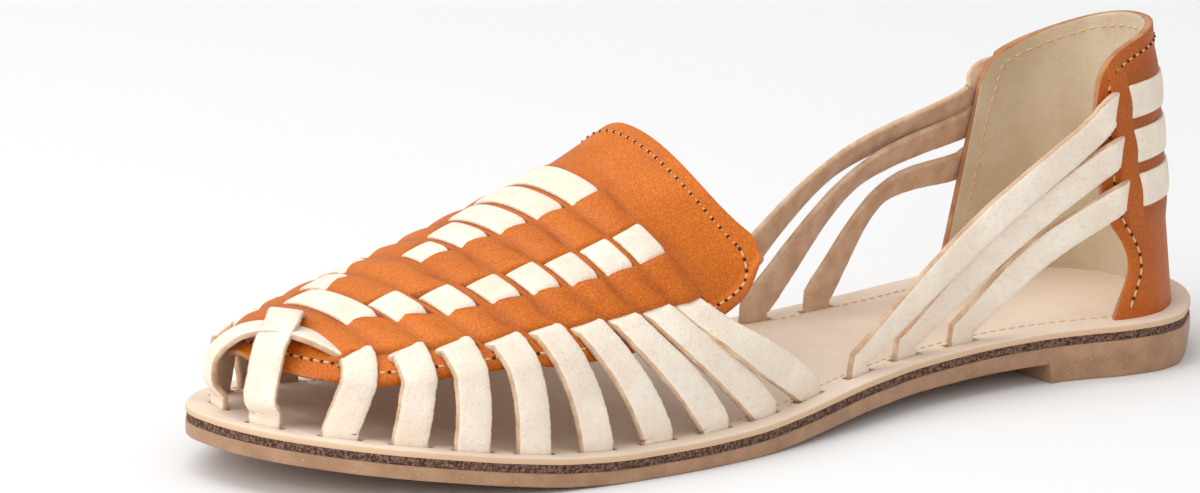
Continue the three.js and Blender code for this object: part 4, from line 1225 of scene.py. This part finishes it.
def stitch_tree(material):
    """Rounded stitches along a line: Pitch, Length, Width and Start are its inputs."""
    tree = bpy.data.node_groups.new("stitch_row", "GeometryNodeTree")
    socket = tree.interface.new_socket
    socket("Line", in_out="INPUT", socket_type="NodeSocketGeometry")
    for name in ("Pitch", "Length", "Width", "Start"):
        socket(name, in_out="INPUT", socket_type="NodeSocketFloat")
    socket("Stitches", in_out="OUTPUT", socket_type="NodeSocketGeometry")

    def add(kind, inputs, **settings):
        return add_node(tree, kind, inputs, **settings).outputs

    given = add("NodeGroupInput", {})
    curve = add("GeometryNodeMeshToCurve", {"Mesh": given["Line"]})["Curve"]
    trimmed = {"Curve": curve, 4: given["Start"], 5: LONGEST_LINE}
    curve = add("GeometryNodeTrimCurve", trimmed, mode="LENGTH")["Curve"]
    spread = add("GeometryNodeCurveToPoints", {"Curve": curve, "Length": given["Pitch"]},
                 mode="LENGTH")
    bead = add("GeometryNodeMeshUVSphere", {"Segments": 8, "Rings": 6, "Radius": 1.0})["Mesh"]
    widths = {"X": given["Width"], "Y": given["Width"], "Z": given["Length"]}
    size = add("ShaderNodeCombineXYZ", widths)[0]
    half = add("ShaderNodeVectorMath", {0: size, "Scale": 0.5}, operation="SCALE")[0]
    placed = {"Points": spread["Points"], "Rotation": spread["Rotation"], "Instance": bead,
              "Scale": half}
    beads = add("GeometryNodeInstanceOnPoints", placed)["Instances"]
    real = add("GeometryNodeRealizeInstances", {"Geometry": beads})["Geometry"]
    dressed = add("GeometryNodeSetMaterial", {"Geometry": real, "Material": material})["Geometry"]
    add("NodeGroupOutput", {"Stitches": dressed})
    return tree


def stitch_row(name, line, tree, sizes):
    """Stitches along a line of millimetre points, as a plain mesh."""
    mesh = bpy.data.meshes.new(name)
    edges = [(i, i + 1) for i in range(len(line) - 1)]
    mesh.from_pydata([tuple((p + SHIFT) * MM) for p in line], edges, [])
    piece = place(name, mesh)
    step = piece.modifiers.new("stitches", "NODES")
    step.node_group = tree
    for item in tree.interface.items_tree:
        if item.in_out == "INPUT" and item.name in sizes:
            step[item.identifier] = sizes[item.name] * MM
    apply_steps(piece)
    piece.data.shade_smooth()
    return piece


def vamp_edge_line(inset, height):
    """Closed line a little inside the vamp's edge, all the way round."""
    xs = eased(TAB_END, TIP_END - 0.2, 160)
    tip, outer_tab, tab = vamp_reach(xs[-1], 1), vamp_reach(TAB_END, 1), vamp_reach(TAB_END, -1)
    outline = [(x, vamp_reach(x, 1)) for x in xs]
    outline += [(xs[-1], tip * (1 - i / 6)) for i in range(1, 12)]
    outline += [(x, -vamp_reach(x, -1)) for x in reversed(xs)]
    outline += [(TAB_END, distance) for distance in spaced(-tab, outer_tab, 40)[1:]]
    outline = [Vector((*place_on, 0)) for place_on in outline]
    count = len(outline)
    line = []
    for i, p in enumerate(outline):
        along = outline[(i + 2) % count] - outline[i - 2]
        q = p + Vector((along.y, -along.x, 0)).normalized() * inset
        if all((q - o).length > inset * 0.93 for o in outline[::2]):
            line.append(q)
    return [vamp_lift(q.x, q.y, height) for q in line + line[:1]]


def vamp_lift(x, distance, height):
    """Point at a height over the leather, which the straps beneath it lift."""
    marks = knots(x, sign(distance))
    interval = max(i for i in range(EDGE + 1) if i == 0 or abs(distance) >= marks[i])
    share = (abs(distance) - marks[interval]) / (marks[interval + 1] - marks[interval])
    return fold_over(x, distance, leather_height(x, interval, share)[0] + height)[0]


def front_row(end, z, inset):
    """Row of the counter at a distance from its front edge."""
    row, step = end, 0.05 if end == 0 else -0.05
    while (cup_point(row, z) - cup_point(end, z)).length < inset:
        row += step
    return row


def rim_line(drop, out):
    """Line inside the counter's front edges and its rim, from the outer foot to the inner one."""
    fronts = {}
    for end in (0, CUP_END):
        zs = spaced(INSOLE_TOP_HEEL + CORNER, cup_rim(end) - drop - CORNER, 39)
        fronts[end] = [(front_row(end, z, drop), z) for z in zs]
    first, last = (front_row(end, cup_rim(end) - drop, drop) for end in fronts)
    rim = [(row, cup_rim(row) - drop) for row in spaced(first + 0.4, last - 0.4, 160)]
    line = []
    for row, z in fronts[0] + rim + fronts[CUP_END][::-1]:
        p = cup_point(row, z)
        away = cup_away(p)
        away.z = 0
        line.append(p + away.normalized() * out)
    return line


def insole_line(side, start, end, inset):
    """Line on the insole along its edge."""
    share = lateral_share if side > 0 else medial_share
    return [Vector((x, share(x / LENGTH) * BALL - side * inset, insole_top(x) + 0.02))
            for x in spaced(start, end, 120)]


def make_stitches():
    thread, hole_shade = stitch_tree(waxed_thread()), stitch_tree(needle_hole())
    runs = {"tab": vamp_edge_line(STITCH_INSET, 0.05), "rim": rim_line(STITCH_INSET, 0.05),
            "lining": rim_line(STITCH_INSET, -1.85), "insole_outer": insole_line(1, 20, 226, 7.4),
            "insole_inner": insole_line(-1, 20, 226, 7.4)}
    rows = []
    for name, line in runs.items():
        rows.append(stitch_row(name + "_stitches", line, thread, STITCH))
        if name in ("tab", "rim"):
            # Dark beads of painted shade mark the needle holes along the tab and rim.
            rows.append(stitch_row(name + "_holes", line, hole_shade, HOLE_SHADE))
    return rows


# ---- assembly

def make_floor():
    mesh = bpy.data.meshes.new("floor")
    mesh.from_pydata([(-4, -4, 0), (4, -4, 0), (4, 4, 0), (-4, 4, 0)], [], [(0, 1, 2, 3)])
    mesh.materials.append(studio_floor())
    place("floor", mesh)


def keep(piece, slot, node=None):
    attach(piece, "root")
    if node:
        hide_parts(node)


def make_sandal():
    strap = [strap_leather(), raw_leather("flesh_side", srgb(226, 190, 160), srgb(200, 158, 126)),
             raw_leather("strap_edge", srgb(232, 200, 166), srgb(204, 160, 122))]
    cut_edge = raw_leather("cut_edge", srgb(206, 140, 84), srgb(170, 98, 48))
    tab_lining = felt_lining("tab_lining", srgb(214, 172, 142), srgb(196, 150, 120))
    heel_lining = felt_lining("heel_lining", srgb(222, 203, 174), srgb(205, 184, 152))
    for piece, node in make_soles():
        keep(piece, node, node)
    vamp = make_vamp_leather([tan_leather("tan_leather", 0.0), tab_lining, cut_edge])
    keep(vamp, "vamp", "vamp")
    # The counter's leather is the vamp's tan leather darkened with painted shade, as the counter
    # stands in shade.
    counter = [tan_leather("counter_leather", 0.35), heel_lining, cut_edge]
    keep(make_counter_leather(counter), "counter", "counter")
    toes = [toe_strap(TOE_UNDER, Vector((0.75, 0.66, 0))),
            toe_strap(TOE_OVER, Vector((-0.5, 0.86, 0)))]
    sides = (1, -1)
    straps = {
        "vamp_windows": make_vamp_windows(),
        "cross_straps": [cross_strap(row, side) for row in CROSS.rows for side in sides],
        "toe_straps": toes,
        "counter_windows": [cup_patch(row, side) for row in QUARTER.rows for side in sides],
        "quarter_straps": [quarter_strap(row, side) for row in QUARTER.rows for side in sides]}
    for name, parts in straps.items():
        points, faces, slots, edges = gather(parts)
        piece = finish_mesh(name, points, faces, slots, strap, {"edge": edges})
        keep(piece, "counter" if name in ("counter_windows", "quarter_straps") else "vamp")
    carriers = {"tab": "vamp", "rim": "counter", "lining": "counter", "insole": "insole"}
    for piece in make_stitches():
        keep(piece, carriers[piece.name.split("_")[0]])


make_camera()
make_light()
make_floor()
make_sandal()
